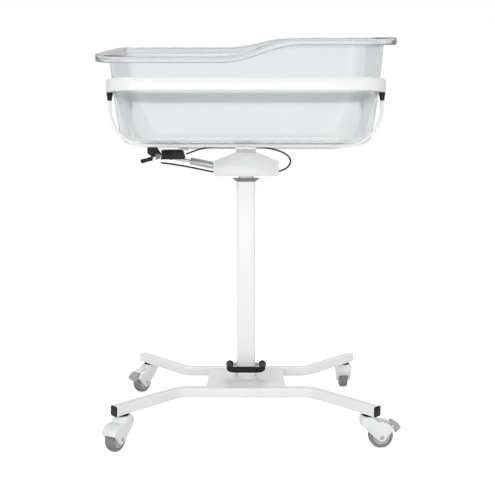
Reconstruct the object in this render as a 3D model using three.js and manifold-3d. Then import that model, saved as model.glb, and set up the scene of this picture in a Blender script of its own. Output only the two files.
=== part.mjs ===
// A hospital bassinet: a clear tub in a ring cradle, on a column stand with four casters.
// Millimetres, +Z up. The head end is at +X, the low access side at -Y, and the floor is at Z = 0.
import * as THREE from 'three';
import { mergeVertices } from 'three/addons/utils/BufferGeometryUtils.js';
import Module from 'manifold-3d';

const wasm = await Module();
wasm.setup();

// Running gap between pieces that touch
const GAP = 0.3;

// Base: two bent square tubes and the plate between them
const BEAM_TUBE = 25;
const BEAM_WALL = 2;
const BEAM_EDGE = 4;
const BEAM_BOTTOM = 81;
const BEAM_Y = 97;
const LEG_ANGLE = THREE.MathUtils.degToRad(46);
const LEG_BEND = 48;
const LEG_END_X = 315;
const LEG_END_Y = 246;
const CAP_THICK = 1.8;
const CAP_EDGE = 0.6;
const CAP_PLUG = 15;
const PLATE_HALF_X = 104;
const PLATE_THICK = 6;
const PLATE_TOP = BEAM_BOTTOM + BEAM_TUBE - 2;

// Column and the lift inside it
const COLUMN_HALF = 25;
const COLUMN_EDGE = 6;
const COLUMN_WALL = 3;
const COLUMN_TOP = 638;
const FOOT_HALF = 31;
const FOOT_ROUND = 22;
const FOOT_HIGH = 9;
const COLLAR_TOP_R = 38;
const COLLAR_LOW_R = 27;
const COLLAR_HIGH = 9;
const COLLAR_SKIRT = 40;
const INNER_HALF = 19;
const INNER_EDGE = 4;
const INNER_WALL = 2.5;
const INNER_BOTTOM = 330;
const GLIDE_HIGH = 12;
const SLIDE_PLAY = 0.4;
const SEAT_Z = 158;
const SEAT_THICK = 6;
const SPRING_BOTTOM = SEAT_Z + SEAT_THICK + GAP;
const SPRING_TOP = 412;
const SPRING_R = 14;
const SPRING_BORE = 11;
const SPRING_LID = 8;
const SPRING_FLOOR = 15;
const LIFT_ROD_R = 5;
const PISTON_Z = 190;
const PISTON_HIGH = 10;

// Foot pedal
const PEDAL_Y = -12;
const PEDAL_Z = 143;
const PEDAL_HALF_X = 44;
const PEDAL_REACH = 54;
const PEDAL_TUBE_R = 8;
const PEDAL_BEND = 16;
const PEDAL_KNOB_R = 10.5;
const SHAFT_R = 5;
const CAM_HALF_X = 6;
const CAM_TIP = 15;
const CAM_TOP = 4;
const VALVE_R = 3;
const VALVE_RECESS = 7;
const VALVE_HIGH = 21;

// Tilt head: two house-shaped cheeks on a bottom plate
const HEAD_HALF_X = 86.5;
const HEAD_TOP_HALF_X = 30.5;
const HEAD_BOTTOM = 653;
const HEAD_SHOULDER = 691.5;
const HEAD_TOP = 715;
const HEAD_HALF_Y = 45;
const HEAD_SHEET = 4;
const HEAD_ROUND = 8;
const HEAD_FLOOR_HALF_X = 70;
const HEAD_FLOOR = 5;
const AXLE_Z = 703;
const AXLE_R = 8;

// Cradle: ring, hanging rods and the brackets under them
const RING_HALF_X = 350;
const RING_HALF_Y = 196;
const RING_ROUND = 74;
const RING_THICK = 7;
const RING_BOTTOM = 863;
const RING_HIGH = 32;
const RING_EDGE = 2.5;
const ROD_R = 4;
const ROD_X = 339.5;
const ROD_Y = 138;
const ROD_Z = 731;
const ROD_BEND = 92;
const SOCKET_TOP_R = 8;
const SOCKET_LOW_R = 5.6;
const SOCKET_HIGH = 20;
const BAR_THICK = 4;
const BAR_TOP = ROD_Z - ROD_R - GAP;
const BAR_HALF_Y = 150;
const CROSS_HALF_X = 26;
const SADDLE_HALF_X = 26;
const SADDLE_HALF_Y = 36;
const SADDLE_TUBE_R = 13;
const SADDLE_PLAY = 0.4;
const FOOT_BAR_X = -192;
const FOOT_BAR_HALF = 25;

// Tilt gas spring, between its pin in the head and its pin in the clevis
const SPRING_PIN_X = -40;
const SPRING_PIN_Z = 671.5;
const SPRING_PIN_R = 5;
const CLEVIS_X = -200;
const CLEVIS_Z = 703;
const CLEVIS_PIN_R = 3.5;
const CLEVIS_HALF_Y = 18;
const CLEVIS_SHEET = 4;
const CLEVIS_BACK_X = -226;
const CLEVIS_FRONT_X = -163;
const CLEVIS_TOP_FRONT_X = -170;
const CLEVIS_LOW_Z = 697;
const TILT_TUBE_R = 9.5;
const TILT_TUBE_BORE = 5;
const TILT_TUBE_START = 12;
const TILT_TUBE_END = 112;
const TILT_BORE_START = 40;
const TILT_ROD_R = 4;
const TILT_ROD_START = 52;
const TILT_SHANK_R = 6.5;
const TILT_SHANK_START = 126;
const TILT_EYE_R = 10;
const TILT_EYE_BORE = 6.2;
const TILT_EYE_HALF_Y = 9;

// Release lever
const LEVER_X = -218;
const LEVER_Z = 703;
const LEVER_PLATE = 6;
const LEVER_PIN_R = 4;
const LEVER_PIN_LONG = 10;
const LEVER_HUB_R = 7.5;
const LEVER_THICK = 5;
const LEVER_STAND = 3.5;
const LEVER_ARM = 6;
const LEVER_ARM_END = new THREE.Vector3(-232, 0, 699.2);
const LEVER_CABLE_END = new THREE.Vector3(-213.5, 0, 691);
const GRIP_R = 5.4;
const GRIP_LONG = 30;

// Release cable, in two lengths that meet inside the tilt head
const CABLE_R = 2.2;
const CABLE_RUN = [
  [-210.5, -144, 688], [-196, -136, 686.5], [-172, -116, 682.5], [-142, -86, 676.5],
  [-112, -50, 669.5], [-90, -30, 664.5], [-66, -23, 661.8], [-34, -22, 661.5], [-0.2, -22, 661.5],
];
const CABLE_LOOP = [
  [0.2, -22, 661.5], [36, -22, 661.5], [70, -22, 662.5], [92, -21, 667], [108, -18, 674.5],
  [117, -13, 685], [118.5, -8, 697], [110, -1, 709], [92, 7, 719], [66, 14, 726.5], [34, 19, 730.6],
  [0, 20, 731], [-40, 20, 731], [-84, 18, 730.6], [-118, 13, 726.8], [-144, 8, 718.5], [-162, 5, 711.5],
];

// Tub: rounded box sections that grow upwards, with a rolled rim
const TUB_BOTTOM = ROD_Z + ROD_R + GAP;
const TUB_WALL = 4;
const TUB_FILLET = 25;
const TUB_FLOOR_HALF_X = 320;
const TUB_FLOOR_HALF_Y = 168;
const TUB_FLOOR_ROUND = 124;
const TUB_GROW_X = 0.11;
const TUB_GROW_Y = 0.105;
const TUB_RING_ROUND = 66;
const RIM_HALF_X = 375;
const RIM_HALF_Y = 208;
const RIM_ROUND = 78;
const RIM_LIP = 19;
const RIM_EDGE = 4;
const NEAR_RIM_LOW = 946;
const NEAR_RIM_HIGH = 988;
const FAR_RIM_LOW = 1029;
const FAR_RIM_HIGH = 1056;
const RAMP_START = -55;
const RAMP_END = 130;

// Casters
const WHEEL_R = 30;
const WHEEL_HALF = 12;
const WHEEL_BORE = 4.4;
const CASTER_TRAIL = 30;
const CASTER_INSET = 26;
const FORK_TOP = 77.8;
const FORK_HALF = 21;
const FORK_SLOT = 13.6;
const FORK_HEAD_R = 21;
const FORK_HEAD_LOW = 54;
const FORK_BORE = 7.5;
const STEM_R = 7;
const STEM_LOW = 66;
const WASHER_R = 14;
const AXLE_PIN_R = 4;
const BRAKE_LOW_R = 37.5;
const BRAKE_TOP_R = 42.5;
const BRAKE_TAIL_X = 38;
const BRAKE_TAIL_Z = 13;

// Each caster's name, corner of the base, trailing direction in degrees, and whether it has a brake
const CASTERS = [
  { label: '1', side: -1, front: -1, heading: 243, brake: false },
  { label: '2', side: 1, front: -1, heading: 2, brake: true },
  { label: '3', side: -1, front: 1, heading: 235, brake: true },
  { label: '4', side: 1, front: 1, heading: 91, brake: false },
];

// Finishes
const white = () => new THREE.MeshStandardMaterial({ color: 0xf0f1f0, roughness: 0.35, metalness: 0 });
const black = () => new THREE.MeshStandardMaterial({ color: 0x1b1c1e, roughness: 0.5, metalness: 0 });
const steel = () => new THREE.MeshStandardMaterial({ color: 0xb9bcc0, roughness: 0.28, metalness: 1 });
const hoodGrey = () => new THREE.MeshStandardMaterial({ color: 0xd9dbdb, roughness: 0.45, metalness: 0 });
const brakeGrey = () => new THREE.MeshStandardMaterial({ color: 0x8e9295, roughness: 0.5, metalness: 0 });
const wheelGrey = () => new THREE.MeshStandardMaterial({ color: 0x55585b, roughness: 0.75, metalness: 0 });
const clear = () => new THREE.MeshStandardMaterial({
  color: 0xdfe6e6, roughness: 0.08, metalness: 0, transparent: true, opacity: 0.35,
});

const bassinet = new THREE.Group();

// Adds a named piece to a group.
function piece(name, geometry, material, parent = bassinet) {
  const mesh = new THREE.Mesh(geometry, material);
  mesh.name = name;
  parent.add(mesh);
  return mesh;
}

// A closed geometry as a solid, without the faces that shrink to a line.
function toSolid(geometry) {
  const bare = geometry.clone();
  bare.deleteAttribute('normal');
  bare.deleteAttribute('uv');
  const merged = mergeVertices(bare, 1e-4);
  const triangles = [];
  const index = merged.index.array;
  for (let i = 0; i < index.length; i += 3) {
    const [a, b, c] = [index[i], index[i + 1], index[i + 2]];
    if (a !== b && b !== c && c !== a) triangles.push(a, b, c);
  }
  return new wasm.Manifold(new wasm.Mesh({
    numProp: 3,
    vertProperties: merged.attributes.position.array,
    triVerts: new Uint32Array(triangles),
  }));
}

// A solid back as a geometry.
function toGeometry(solid) {
  const mesh = solid.getMesh();
  const geometry = new THREE.BufferGeometry();
  geometry.setAttribute('position', new THREE.BufferAttribute(mesh.vertProperties, 3));
  geometry.setIndex(new THREE.BufferAttribute(mesh.triVerts, 1));
  geometry.computeVertexNormals();
  return geometry;
}

// The first list of geometries joined, with the second list cut out of them.
function build(joined, cuts = []) {
  let solid = toSolid(joined[0]);
  for (const geometry of joined.slice(1)) solid = solid.add(toSolid(geometry));
  for (const geometry of cuts) solid = solid.subtract(toSolid(geometry));
  return toGeometry(solid);
}

// A rectangle with round corners, centred on the origin.
function roundedRect(halfX, halfY, round, Kind = THREE.Shape) {
  const outline = new Kind();
  outline.absarc(halfX - round, halfY - round, round, 0, Math.PI / 2, false);
  outline.absarc(round - halfX, halfY - round, round, Math.PI / 2, Math.PI, false);
  outline.absarc(round - halfX, round - halfY, round, Math.PI, 1.5 * Math.PI, false);
  outline.absarc(halfX - round, round - halfY, round, 1.5 * Math.PI, 2 * Math.PI, false);
  outline.closePath();
  return outline;
}

// An outline pulled up to a height, with its upper and lower edges rounded where an edge is given.
function extrudeUp(shape, height, edge = 0, curveSegments = 2) {
  const rounded = edge > 0;
  const geometry = new THREE.ExtrudeGeometry(shape, {
    depth: height - 2 * edge,
    bevelEnabled: rounded,
    bevelThickness: edge,
    bevelSize: edge,
    bevelOffset: -edge,
    bevelSegments: 2,
    curveSegments,
  });
  return geometry.translate(0, 0, edge);
}

// An outline in X and Z made a plate, from one Y to a larger one.
function plateAcross(shape, fromY, toY, edge = 0) {
  return extrudeUp(shape, toY - fromY, edge).rotateX(Math.PI / 2).translate(0, toY, 0);
}

// A profile of radius and height turned about Z.
function turned(profile, segments = 24) {
  const points = profile.map(([radius, height]) => new THREE.Vector2(radius, height));
  return new THREE.LatheGeometry(points, segments).rotateX(Math.PI / 2);
}

// A closed profile, which leaves a hole on the axis.
function turnedRing(profile, segments = 24) {
  return turned([...profile, profile[0]], segments);
}

// A round bar along X, Y or Z, centred on a point.
function bar(axis, radius, length, centre, segments = 20) {
  const geometry = new THREE.CylinderGeometry(radius, radius, length, segments);
  if (axis === 'x') geometry.rotateZ(Math.PI / 2);
  if (axis === 'z') geometry.rotateX(Math.PI / 2);
  return geometry.translate(...centre);
}

// A box between its lowest and highest corners.
function block(low, high) {
  const size = high.map((value, i) => value - low[i]);
  const centre = high.map((value, i) => (value + low[i]) / 2);
  return new THREE.BoxGeometry(...size).translate(...centre);
}

// A round section swept along a path.
function sweptRound(path, radius, steps, sides) {
  const section = new THREE.Shape();
  section.absarc(0, 0, radius, 0, 2 * Math.PI, false);
  return new THREE.ExtrudeGeometry(section, { steps, extrudePath: path, curveSegments: sides / 2 });
}

// A quarter circle from one point to another, round the corner between them.
function roundCorner(from, corner, to) {
  const handle = 0.5523;
  const first = from.clone().lerp(corner, handle);
  const second = to.clone().lerp(corner, handle);
  return new THREE.CubicBezierCurve3(from, first, second, to);
}

// Base beams: the plan outline of a beam, with straight middle, two bends and two legs.
function beamOutline(halfWidth, extraLength) {
  const turn = LEG_ANGLE;
  const [sine, cosine] = [Math.sin(turn), Math.cos(turn)];
  const legLong = (LEG_END_Y - BEAM_Y - LEG_BEND * (1 - cosine)) / sine;
  const bendX = LEG_END_X - LEG_BEND * sine - legLong * cosine;
  const bendY = -BEAM_Y - LEG_BEND;
  const endX = LEG_END_X + extraLength * cosine;
  const endY = -LEG_END_Y - extraLength * sine;
  const upright = Math.PI / 2;
  const outline = new THREE.Shape();
  outline.moveTo(-endX + halfWidth * sine, endY - halfWidth * cosine);
  outline.absarc(-bendX, bendY, LEG_BEND - halfWidth, upright + turn, upright, true);
  outline.absarc(bendX, bendY, LEG_BEND - halfWidth, upright, upright - turn, true);
  outline.lineTo(endX - halfWidth * sine, endY - halfWidth * cosine);
  outline.lineTo(endX + halfWidth * sine, endY + halfWidth * cosine);
  outline.absarc(bendX, bendY, LEG_BEND + halfWidth, upright - turn, upright, false);
  outline.absarc(-bendX, bendY, LEG_BEND + halfWidth, upright, upright + turn, false);
  outline.lineTo(-endX - halfWidth * sine, endY + halfWidth * cosine);
  outline.closePath();
  return outline;
}

function beam() {
  const halfTube = BEAM_TUBE / 2;
  const outside = extrudeUp(beamOutline(halfTube, 0), BEAM_TUBE, BEAM_EDGE, 4);
  const inside = extrudeUp(beamOutline(halfTube - BEAM_WALL, 5), BEAM_TUBE - 2 * BEAM_WALL, 0, 4);
  return build([outside], [inside.translate(0, 0, BEAM_WALL)]).translate(0, 0, BEAM_BOTTOM);
}

// A plug for a leg's end, pointing along +X.
function legCap() {
  const half = BEAM_TUBE / 2;
  const plugHalf = half - BEAM_WALL - GAP;
  const face = extrudeUp(roundedRect(half, half, BEAM_EDGE), CAP_THICK, CAP_EDGE).translate(0, 0, GAP);
  const plug = extrudeUp(roundedRect(plugHalf, plugHalf, 1), CAP_PLUG + 2 * GAP).translate(0, 0, -CAP_PLUG);
  return build([face, plug]).rotateY(Math.PI / 2);
}

function addBase() {
  piece('front_beam', beam(), white());
  piece('rear_beam', beam().rotateZ(Math.PI), white());
  const plateHalfY = BEAM_Y - BEAM_TUBE / 2 - GAP;
  const plate = extrudeUp(roundedRect(PLATE_HALF_X, plateHalfY, 3), PLATE_THICK);
  piece('base_plate', plate.translate(0, 0, PLATE_TOP - PLATE_THICK), white());
  for (const front of [-1, 1]) {
    for (const side of [-1, 1]) {
      const cap = piece(`leg_cap_${front < 0 ? 'front' : 'rear'}_${side < 0 ? 'left' : 'right'}`, legCap(), black());
      cap.position.set(side * LEG_END_X, front * LEG_END_Y, BEAM_BOTTOM + BEAM_TUBE / 2);
      cap.rotation.z = Math.atan2(front * Math.sin(LEG_ANGLE), side * Math.cos(LEG_ANGLE));
    }
  }
}

function addColumn() {
  const footHole = roundedRect(COLUMN_HALF + GAP, COLUMN_HALF + GAP, COLUMN_EDGE + GAP, THREE.Path);
  const footShape = roundedRect(FOOT_HALF, FOOT_HALF, FOOT_ROUND);
  footShape.holes.push(footHole);
  piece('column_foot_ring', extrudeUp(footShape, FOOT_HIGH, 0, 5).translate(0, 0, PLATE_TOP + GAP), white());

  const bore = COLUMN_HALF - COLUMN_WALL;
  const tubeShape = roundedRect(COLUMN_HALF, COLUMN_HALF, COLUMN_EDGE);
  tubeShape.holes.push(roundedRect(bore, bore, COLUMN_EDGE - COLUMN_WALL, THREE.Path));
  const tubeBottom = PLATE_TOP + GAP;
  const tube = extrudeUp(tubeShape, COLUMN_TOP - tubeBottom).translate(0, 0, tubeBottom);
  const shaftHole = bar('x', SHAFT_R + SLIDE_PLAY, 4 * COLUMN_HALF, [0, PEDAL_Y, PEDAL_Z]);
  piece('column_tube', build([tube], [shaftHole]), white());

  const skirtHalf = bore - GAP;
  const slideHalf = INNER_HALF + SLIDE_PLAY;
  const cone = new THREE.CylinderGeometry(COLLAR_TOP_R, COLLAR_LOW_R, COLLAR_HIGH, 32).rotateX(Math.PI / 2);
  cone.translate(0, 0, COLUMN_TOP + GAP + COLLAR_HIGH / 2);
  const skirt = extrudeUp(roundedRect(skirtHalf, skirtHalf, 3), COLLAR_SKIRT + 1);
  skirt.translate(0, 0, COLUMN_TOP - COLLAR_SKIRT);
  const slideHole = extrudeUp(roundedRect(slideHalf, slideHalf, INNER_EDGE), 3 * COLLAR_SKIRT);
  slideHole.translate(0, 0, COLUMN_TOP - 2 * COLLAR_SKIRT);
  piece('guide_collar', build([cone, skirt], [slideHole]), brakeGrey());

  const seatShape = roundedRect(skirtHalf, skirtHalf, 3);
  const pinHole = new THREE.Path();
  pinHole.absarc(0, 0, VALVE_R + SLIDE_PLAY, 0, 2 * Math.PI, false);
  seatShape.holes.push(pinHole);
  piece('spring_seat', extrudeUp(seatShape, SEAT_THICK, 0, 5).translate(0, 0, SEAT_Z), steel());

  const recessR = VALVE_R + 2 * SLIDE_PLAY;
  piece('lift_spring_cylinder', turned([
    [0, SPRING_BOTTOM + VALVE_RECESS], [recessR, SPRING_BOTTOM + VALVE_RECESS], [recessR, SPRING_BOTTOM],
    [SPRING_R, SPRING_BOTTOM], [SPRING_R, SPRING_TOP], [LIFT_ROD_R + SLIDE_PLAY, SPRING_TOP],
    [LIFT_ROD_R + SLIDE_PLAY, SPRING_TOP - SPRING_LID], [SPRING_BORE, SPRING_TOP - SPRING_LID],
    [SPRING_BORE, SPRING_BOTTOM + SPRING_FLOOR], [0, SPRING_BOTTOM + SPRING_FLOOR],
  ]), black());
}

function addPedal() {
  const left = -PEDAL_HALF_X;
  const right = PEDAL_HALF_X;
  const front = PEDAL_Y - PEDAL_REACH;
  const at = (x, y) => new THREE.Vector3(x, y, PEDAL_Z);
  const path = new THREE.CurvePath();
  const startBend = at(left, front + PEDAL_BEND);
  const endBend = at(right, front + PEDAL_BEND);
  path.add(new THREE.LineCurve3(at(left, PEDAL_Y), startBend));
  path.add(roundCorner(startBend, at(left, front), at(left + PEDAL_BEND, front)));
  path.add(new THREE.LineCurve3(at(left + PEDAL_BEND, front), at(right - PEDAL_BEND, front)));
  path.add(roundCorner(at(right - PEDAL_BEND, front), at(right, front), endBend));
  path.add(new THREE.LineCurve3(endBend, at(right, PEDAL_Y)));
  const knobs = [left, right].map((x) => {
    const knob = new THREE.SphereGeometry(PEDAL_KNOB_R, 12, 8);
    return knob.translate(x, PEDAL_Y, PEDAL_Z);
  });
  piece('pedal_bar', build([sweptRound(path, PEDAL_TUBE_R, 32, 12), ...knobs]), black());

  const shaftLong = 2 * (PEDAL_HALF_X - PEDAL_KNOB_R - GAP);
  const shaft = bar('x', SHAFT_R, shaftLong, [0, PEDAL_Y, PEDAL_Z], 16);
  const cam = block(
    [-CAM_HALF_X, PEDAL_Y, PEDAL_Z - SHAFT_R + 1],
    [CAM_HALF_X, PEDAL_Y + CAM_TIP, PEDAL_Z + CAM_TOP],
  );
  piece('pedal_shaft', build([shaft, cam]), steel());
  const valveLow = PEDAL_Z + CAM_TOP + 0.4;
  piece('valve_pin', bar('z', VALVE_R, VALVE_HIGH, [0, 0, valveLow + VALVE_HIGH / 2], 14), steel());
}

function addLift() {
  const bore = INNER_HALF - INNER_WALL;
  const tubeShape = roundedRect(INNER_HALF, INNER_HALF, INNER_EDGE);
  tubeShape.holes.push(roundedRect(bore, bore, INNER_EDGE - INNER_WALL, THREE.Path));
  const tube = extrudeUp(tubeShape, HEAD_BOTTOM - GAP - INNER_BOTTOM);
  piece('inner_column', tube.translate(0, 0, INNER_BOTTOM), steel());

  const glideHalf = COLUMN_HALF - COLUMN_WALL - SLIDE_PLAY;
  const glideShape = roundedRect(glideHalf, glideHalf, 3);
  const springHole = new THREE.Path();
  springHole.absarc(0, 0, SPRING_R + 1, 0, 2 * Math.PI, false);
  glideShape.holes.push(springHole);
  const glide = extrudeUp(glideShape, GLIDE_HIGH, 0, 6);
  piece('inner_glide', glide.translate(0, 0, INNER_BOTTOM - GAP - GLIDE_HIGH), black());

  const pistonR = SPRING_BORE - SLIDE_PLAY;
  piece('lift_spring_rod', turned([
    [0, PISTON_Z], [pistonR, PISTON_Z], [pistonR, PISTON_Z + PISTON_HIGH], [LIFT_ROD_R, PISTON_Z + PISTON_HIGH],
    [LIFT_ROD_R, HEAD_BOTTOM - GAP], [0, HEAD_BOTTOM - GAP],
  ], 16), steel());

  const house = new THREE.Shape();
  house.moveTo(-HEAD_TOP_HALF_X, HEAD_TOP);
  house.lineTo(-HEAD_HALF_X, HEAD_SHOULDER);
  house.absarc(HEAD_ROUND - HEAD_HALF_X, HEAD_BOTTOM + HEAD_ROUND, HEAD_ROUND, Math.PI, 1.5 * Math.PI, false);
  house.absarc(HEAD_HALF_X - HEAD_ROUND, HEAD_BOTTOM + HEAD_ROUND, HEAD_ROUND, 1.5 * Math.PI, 2 * Math.PI, false);
  house.lineTo(HEAD_HALF_X, HEAD_SHOULDER);
  house.lineTo(HEAD_TOP_HALF_X, HEAD_TOP);
  house.closePath();
  const innerY = HEAD_HALF_Y - HEAD_SHEET;
  const floor = block(
    [-HEAD_FLOOR_HALF_X, -HEAD_HALF_Y + 1, HEAD_BOTTOM],
    [HEAD_FLOOR_HALF_X, HEAD_HALF_Y - 1, HEAD_BOTTOM + HEAD_FLOOR],
  );
  const nearCheek = plateAcross(house, -HEAD_HALF_Y, -innerY);
  const farCheek = plateAcross(house, innerY, HEAD_HALF_Y);
  piece('tilt_head', build([nearCheek, farCheek, floor]), white());

  const pinLong = 2 * (innerY - GAP);
  piece('tilt_axle', bar('y', AXLE_R, pinLong, [0, 0, AXLE_Z]), steel());
  piece('spring_pivot_pin', bar('y', SPRING_PIN_R, pinLong, [SPRING_PIN_X, 0, SPRING_PIN_Z], 16), steel());
}

// A rod that hangs from the ring at both ends and runs under the tub.
function hangingRod(y) {
  const at = (x, z) => new THREE.Vector3(x, y, z);
  const top = RING_BOTTOM - GAP;
  const straightX = ROD_X - ROD_BEND;
  const bendZ = ROD_Z + ROD_BEND;
  const path = new THREE.CurvePath();
  path.add(new THREE.LineCurve3(at(-ROD_X, top), at(-ROD_X, bendZ)));
  path.add(roundCorner(at(-ROD_X, bendZ), at(-ROD_X, ROD_Z), at(-straightX, ROD_Z)));
  path.add(new THREE.LineCurve3(at(-straightX, ROD_Z), at(straightX, ROD_Z)));
  path.add(roundCorner(at(straightX, ROD_Z), at(ROD_X, ROD_Z), at(ROD_X, bendZ)));
  path.add(new THREE.LineCurve3(at(ROD_X, bendZ), at(ROD_X, top)));
  return sweptRound(path, ROD_R, 44, 10);
}

function addCradle() {
  const ringShape = roundedRect(RING_HALF_X, RING_HALF_Y, RING_ROUND);
  const inner = roundedRect(RING_HALF_X - RING_THICK, RING_HALF_Y - RING_THICK, RING_ROUND - RING_THICK, THREE.Path);
  ringShape.holes.push(inner);
  piece('ring_frame', extrudeUp(ringShape, RING_HIGH, RING_EDGE, 6).translate(0, 0, RING_BOTTOM), white());
  piece('near_rod', hangingRod(-ROD_Y), white());
  piece('far_rod', hangingRod(ROD_Y), white());

  const corners = [[-1, -1], [1, -1], [-1, 1], [1, 1]];
  corners.forEach(([side, front], i) => {
    const bore = ROD_R + GAP;
    const socket = turnedRing([
      [bore, -SOCKET_HIGH], [SOCKET_LOW_R, -SOCKET_HIGH], [SOCKET_TOP_R, 0], [bore, 0],
    ], 20);
    const mesh = piece(`rod_socket_${i + 1}`, socket, black());
    mesh.position.set(side * ROD_X, front * ROD_Y, RING_BOTTOM - GAP);
  });

  const barLow = BAR_TOP - BAR_THICK;
  const cross = block([-CROSS_HALF_X, -BAR_HALF_Y, barLow], [CROSS_HALF_X, BAR_HALF_Y, BAR_TOP]);
  piece('cross_plate', cross, white());
  const web = block(
    [-SADDLE_HALF_X, -SADDLE_HALF_Y, AXLE_Z],
    [SADDLE_HALF_X, SADDLE_HALF_Y, barLow - GAP],
  );
  const bearing = bar('y', SADDLE_TUBE_R, 2 * SADDLE_HALF_Y, [0, 0, AXLE_Z], 24);
  const axleHole = bar('y', AXLE_R + SADDLE_PLAY, 4 * SADDLE_HALF_Y, [0, 0, AXLE_Z], 24);
  piece('pivot_saddle', build([web, bearing], [axleHole]), white());

  const footBar = block(
    [FOOT_BAR_X - FOOT_BAR_HALF, -BAR_HALF_Y, barLow],
    [FOOT_BAR_X + FOOT_BAR_HALF, BAR_HALF_Y, BAR_TOP],
  );
  piece('foot_cross_bar', footBar, white());
  addClevis(barLow - GAP);
  addLeverBracket();
  piece('release_cable_run', cable(CABLE_RUN, 18), black());
  piece('release_cable_loop', cable(CABLE_LOOP, 38), black());
}

// The black bracket that holds the tilt gas spring: a top sheet with two trapezoid cheeks.
function addClevis(top) {
  const cheek = new THREE.Shape();
  cheek.moveTo(CLEVIS_BACK_X, top);
  cheek.lineTo(CLEVIS_BACK_X, CLEVIS_LOW_Z);
  cheek.lineTo(CLEVIS_FRONT_X, CLEVIS_LOW_Z);
  cheek.lineTo(CLEVIS_TOP_FRONT_X, top);
  cheek.closePath();
  const innerY = CLEVIS_HALF_Y - CLEVIS_SHEET;
  const sheet = block(
    [CLEVIS_BACK_X, -CLEVIS_HALF_Y, top - CLEVIS_SHEET],
    [CLEVIS_TOP_FRONT_X, CLEVIS_HALF_Y, top],
  );
  const nearCheek = plateAcross(cheek, -CLEVIS_HALF_Y, -innerY);
  const farCheek = plateAcross(cheek, innerY, CLEVIS_HALF_Y);
  piece('spring_clevis', build([nearCheek, farCheek, sheet]), black());
  const pinLong = 2 * (innerY - GAP);
  piece('clevis_pin', bar('y', CLEVIS_PIN_R, pinLong, [CLEVIS_X, 0, CLEVIS_Z], 14), steel());
}

// The release lever's bracket, under the near rod, with the lever's pin on its front.
function addLeverBracket() {
  const top = ROD_Z - ROD_R - GAP;
  const sheet = new THREE.Shape();
  sheet.moveTo(LEVER_X - 28, top);
  sheet.lineTo(LEVER_X - 28, LEVER_Z + 9);
  sheet.lineTo(LEVER_X - 8, LEVER_Z - 7);
  sheet.lineTo(LEVER_X + 8, LEVER_Z - 7);
  sheet.lineTo(LEVER_X + 8, LEVER_Z + 6);
  sheet.lineTo(LEVER_X - 4, top);
  sheet.closePath();
  const frontY = -ROD_Y - LEVER_PLATE / 2;
  const plate = plateAcross(sheet, frontY, frontY + LEVER_PLATE);
  const pinMiddle = frontY - LEVER_PIN_LONG / 2 + 1;
  const pin = bar('y', LEVER_PIN_R, LEVER_PIN_LONG + 2, [LEVER_X, pinMiddle, LEVER_Z], 14);
  piece('lever_bracket', build([plate, pin]), black());
}

function cable(route, steps) {
  const points = route.map((point) => new THREE.Vector3(...point));
  return sweptRound(new THREE.CatmullRomCurve3(points), CABLE_R, steps, 8);
}

// A flat arm of the lever, from its pin to an end.
function leverArm(end, fromY, toY) {
  const long = Math.hypot(end.x - LEVER_X, end.z - LEVER_Z);
  const arm = block([0, fromY, -LEVER_ARM / 2], [long, toY, LEVER_ARM / 2]);
  arm.rotateY(Math.atan2(LEVER_Z - end.z, end.x - LEVER_X));
  return arm.translate(LEVER_X, 0, LEVER_Z);
}

function addLever() {
  const toY = -ROD_Y - LEVER_PLATE / 2 - LEVER_STAND;
  const fromY = toY - LEVER_THICK;
  const middleY = (fromY + toY) / 2;
  const hub = bar('y', LEVER_HUB_R, LEVER_THICK, [LEVER_X, middleY, LEVER_Z]);
  const hole = bar('y', LEVER_PIN_R + SLIDE_PLAY, 4 * LEVER_THICK, [LEVER_X, middleY, LEVER_Z], 14);
  const arms = [LEVER_ARM_END, LEVER_CABLE_END].map((end) => leverArm(end, fromY, toY));
  piece('lever_arm', build([hub, ...arms], [hole]), steel());

  const grip = turned([
    [0, 0], [GRIP_R - 1.2, 0], [GRIP_R, 1.5], [GRIP_R - 0.6, GRIP_LONG / 2],
    [GRIP_R, GRIP_LONG - 2], [GRIP_R - 1.8, GRIP_LONG], [0, GRIP_LONG],
  ], 16);
  const mesh = piece('lever_grip', grip, black());
  const slope = Math.atan2(LEVER_Z - LEVER_ARM_END.z, LEVER_X - LEVER_ARM_END.x);
  mesh.position.set(
    LEVER_ARM_END.x - GAP * Math.cos(slope),
    middleY,
    LEVER_ARM_END.z - GAP * Math.sin(slope),
  );
  mesh.rotation.y = -Math.PI / 2 - slope;
}

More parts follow.
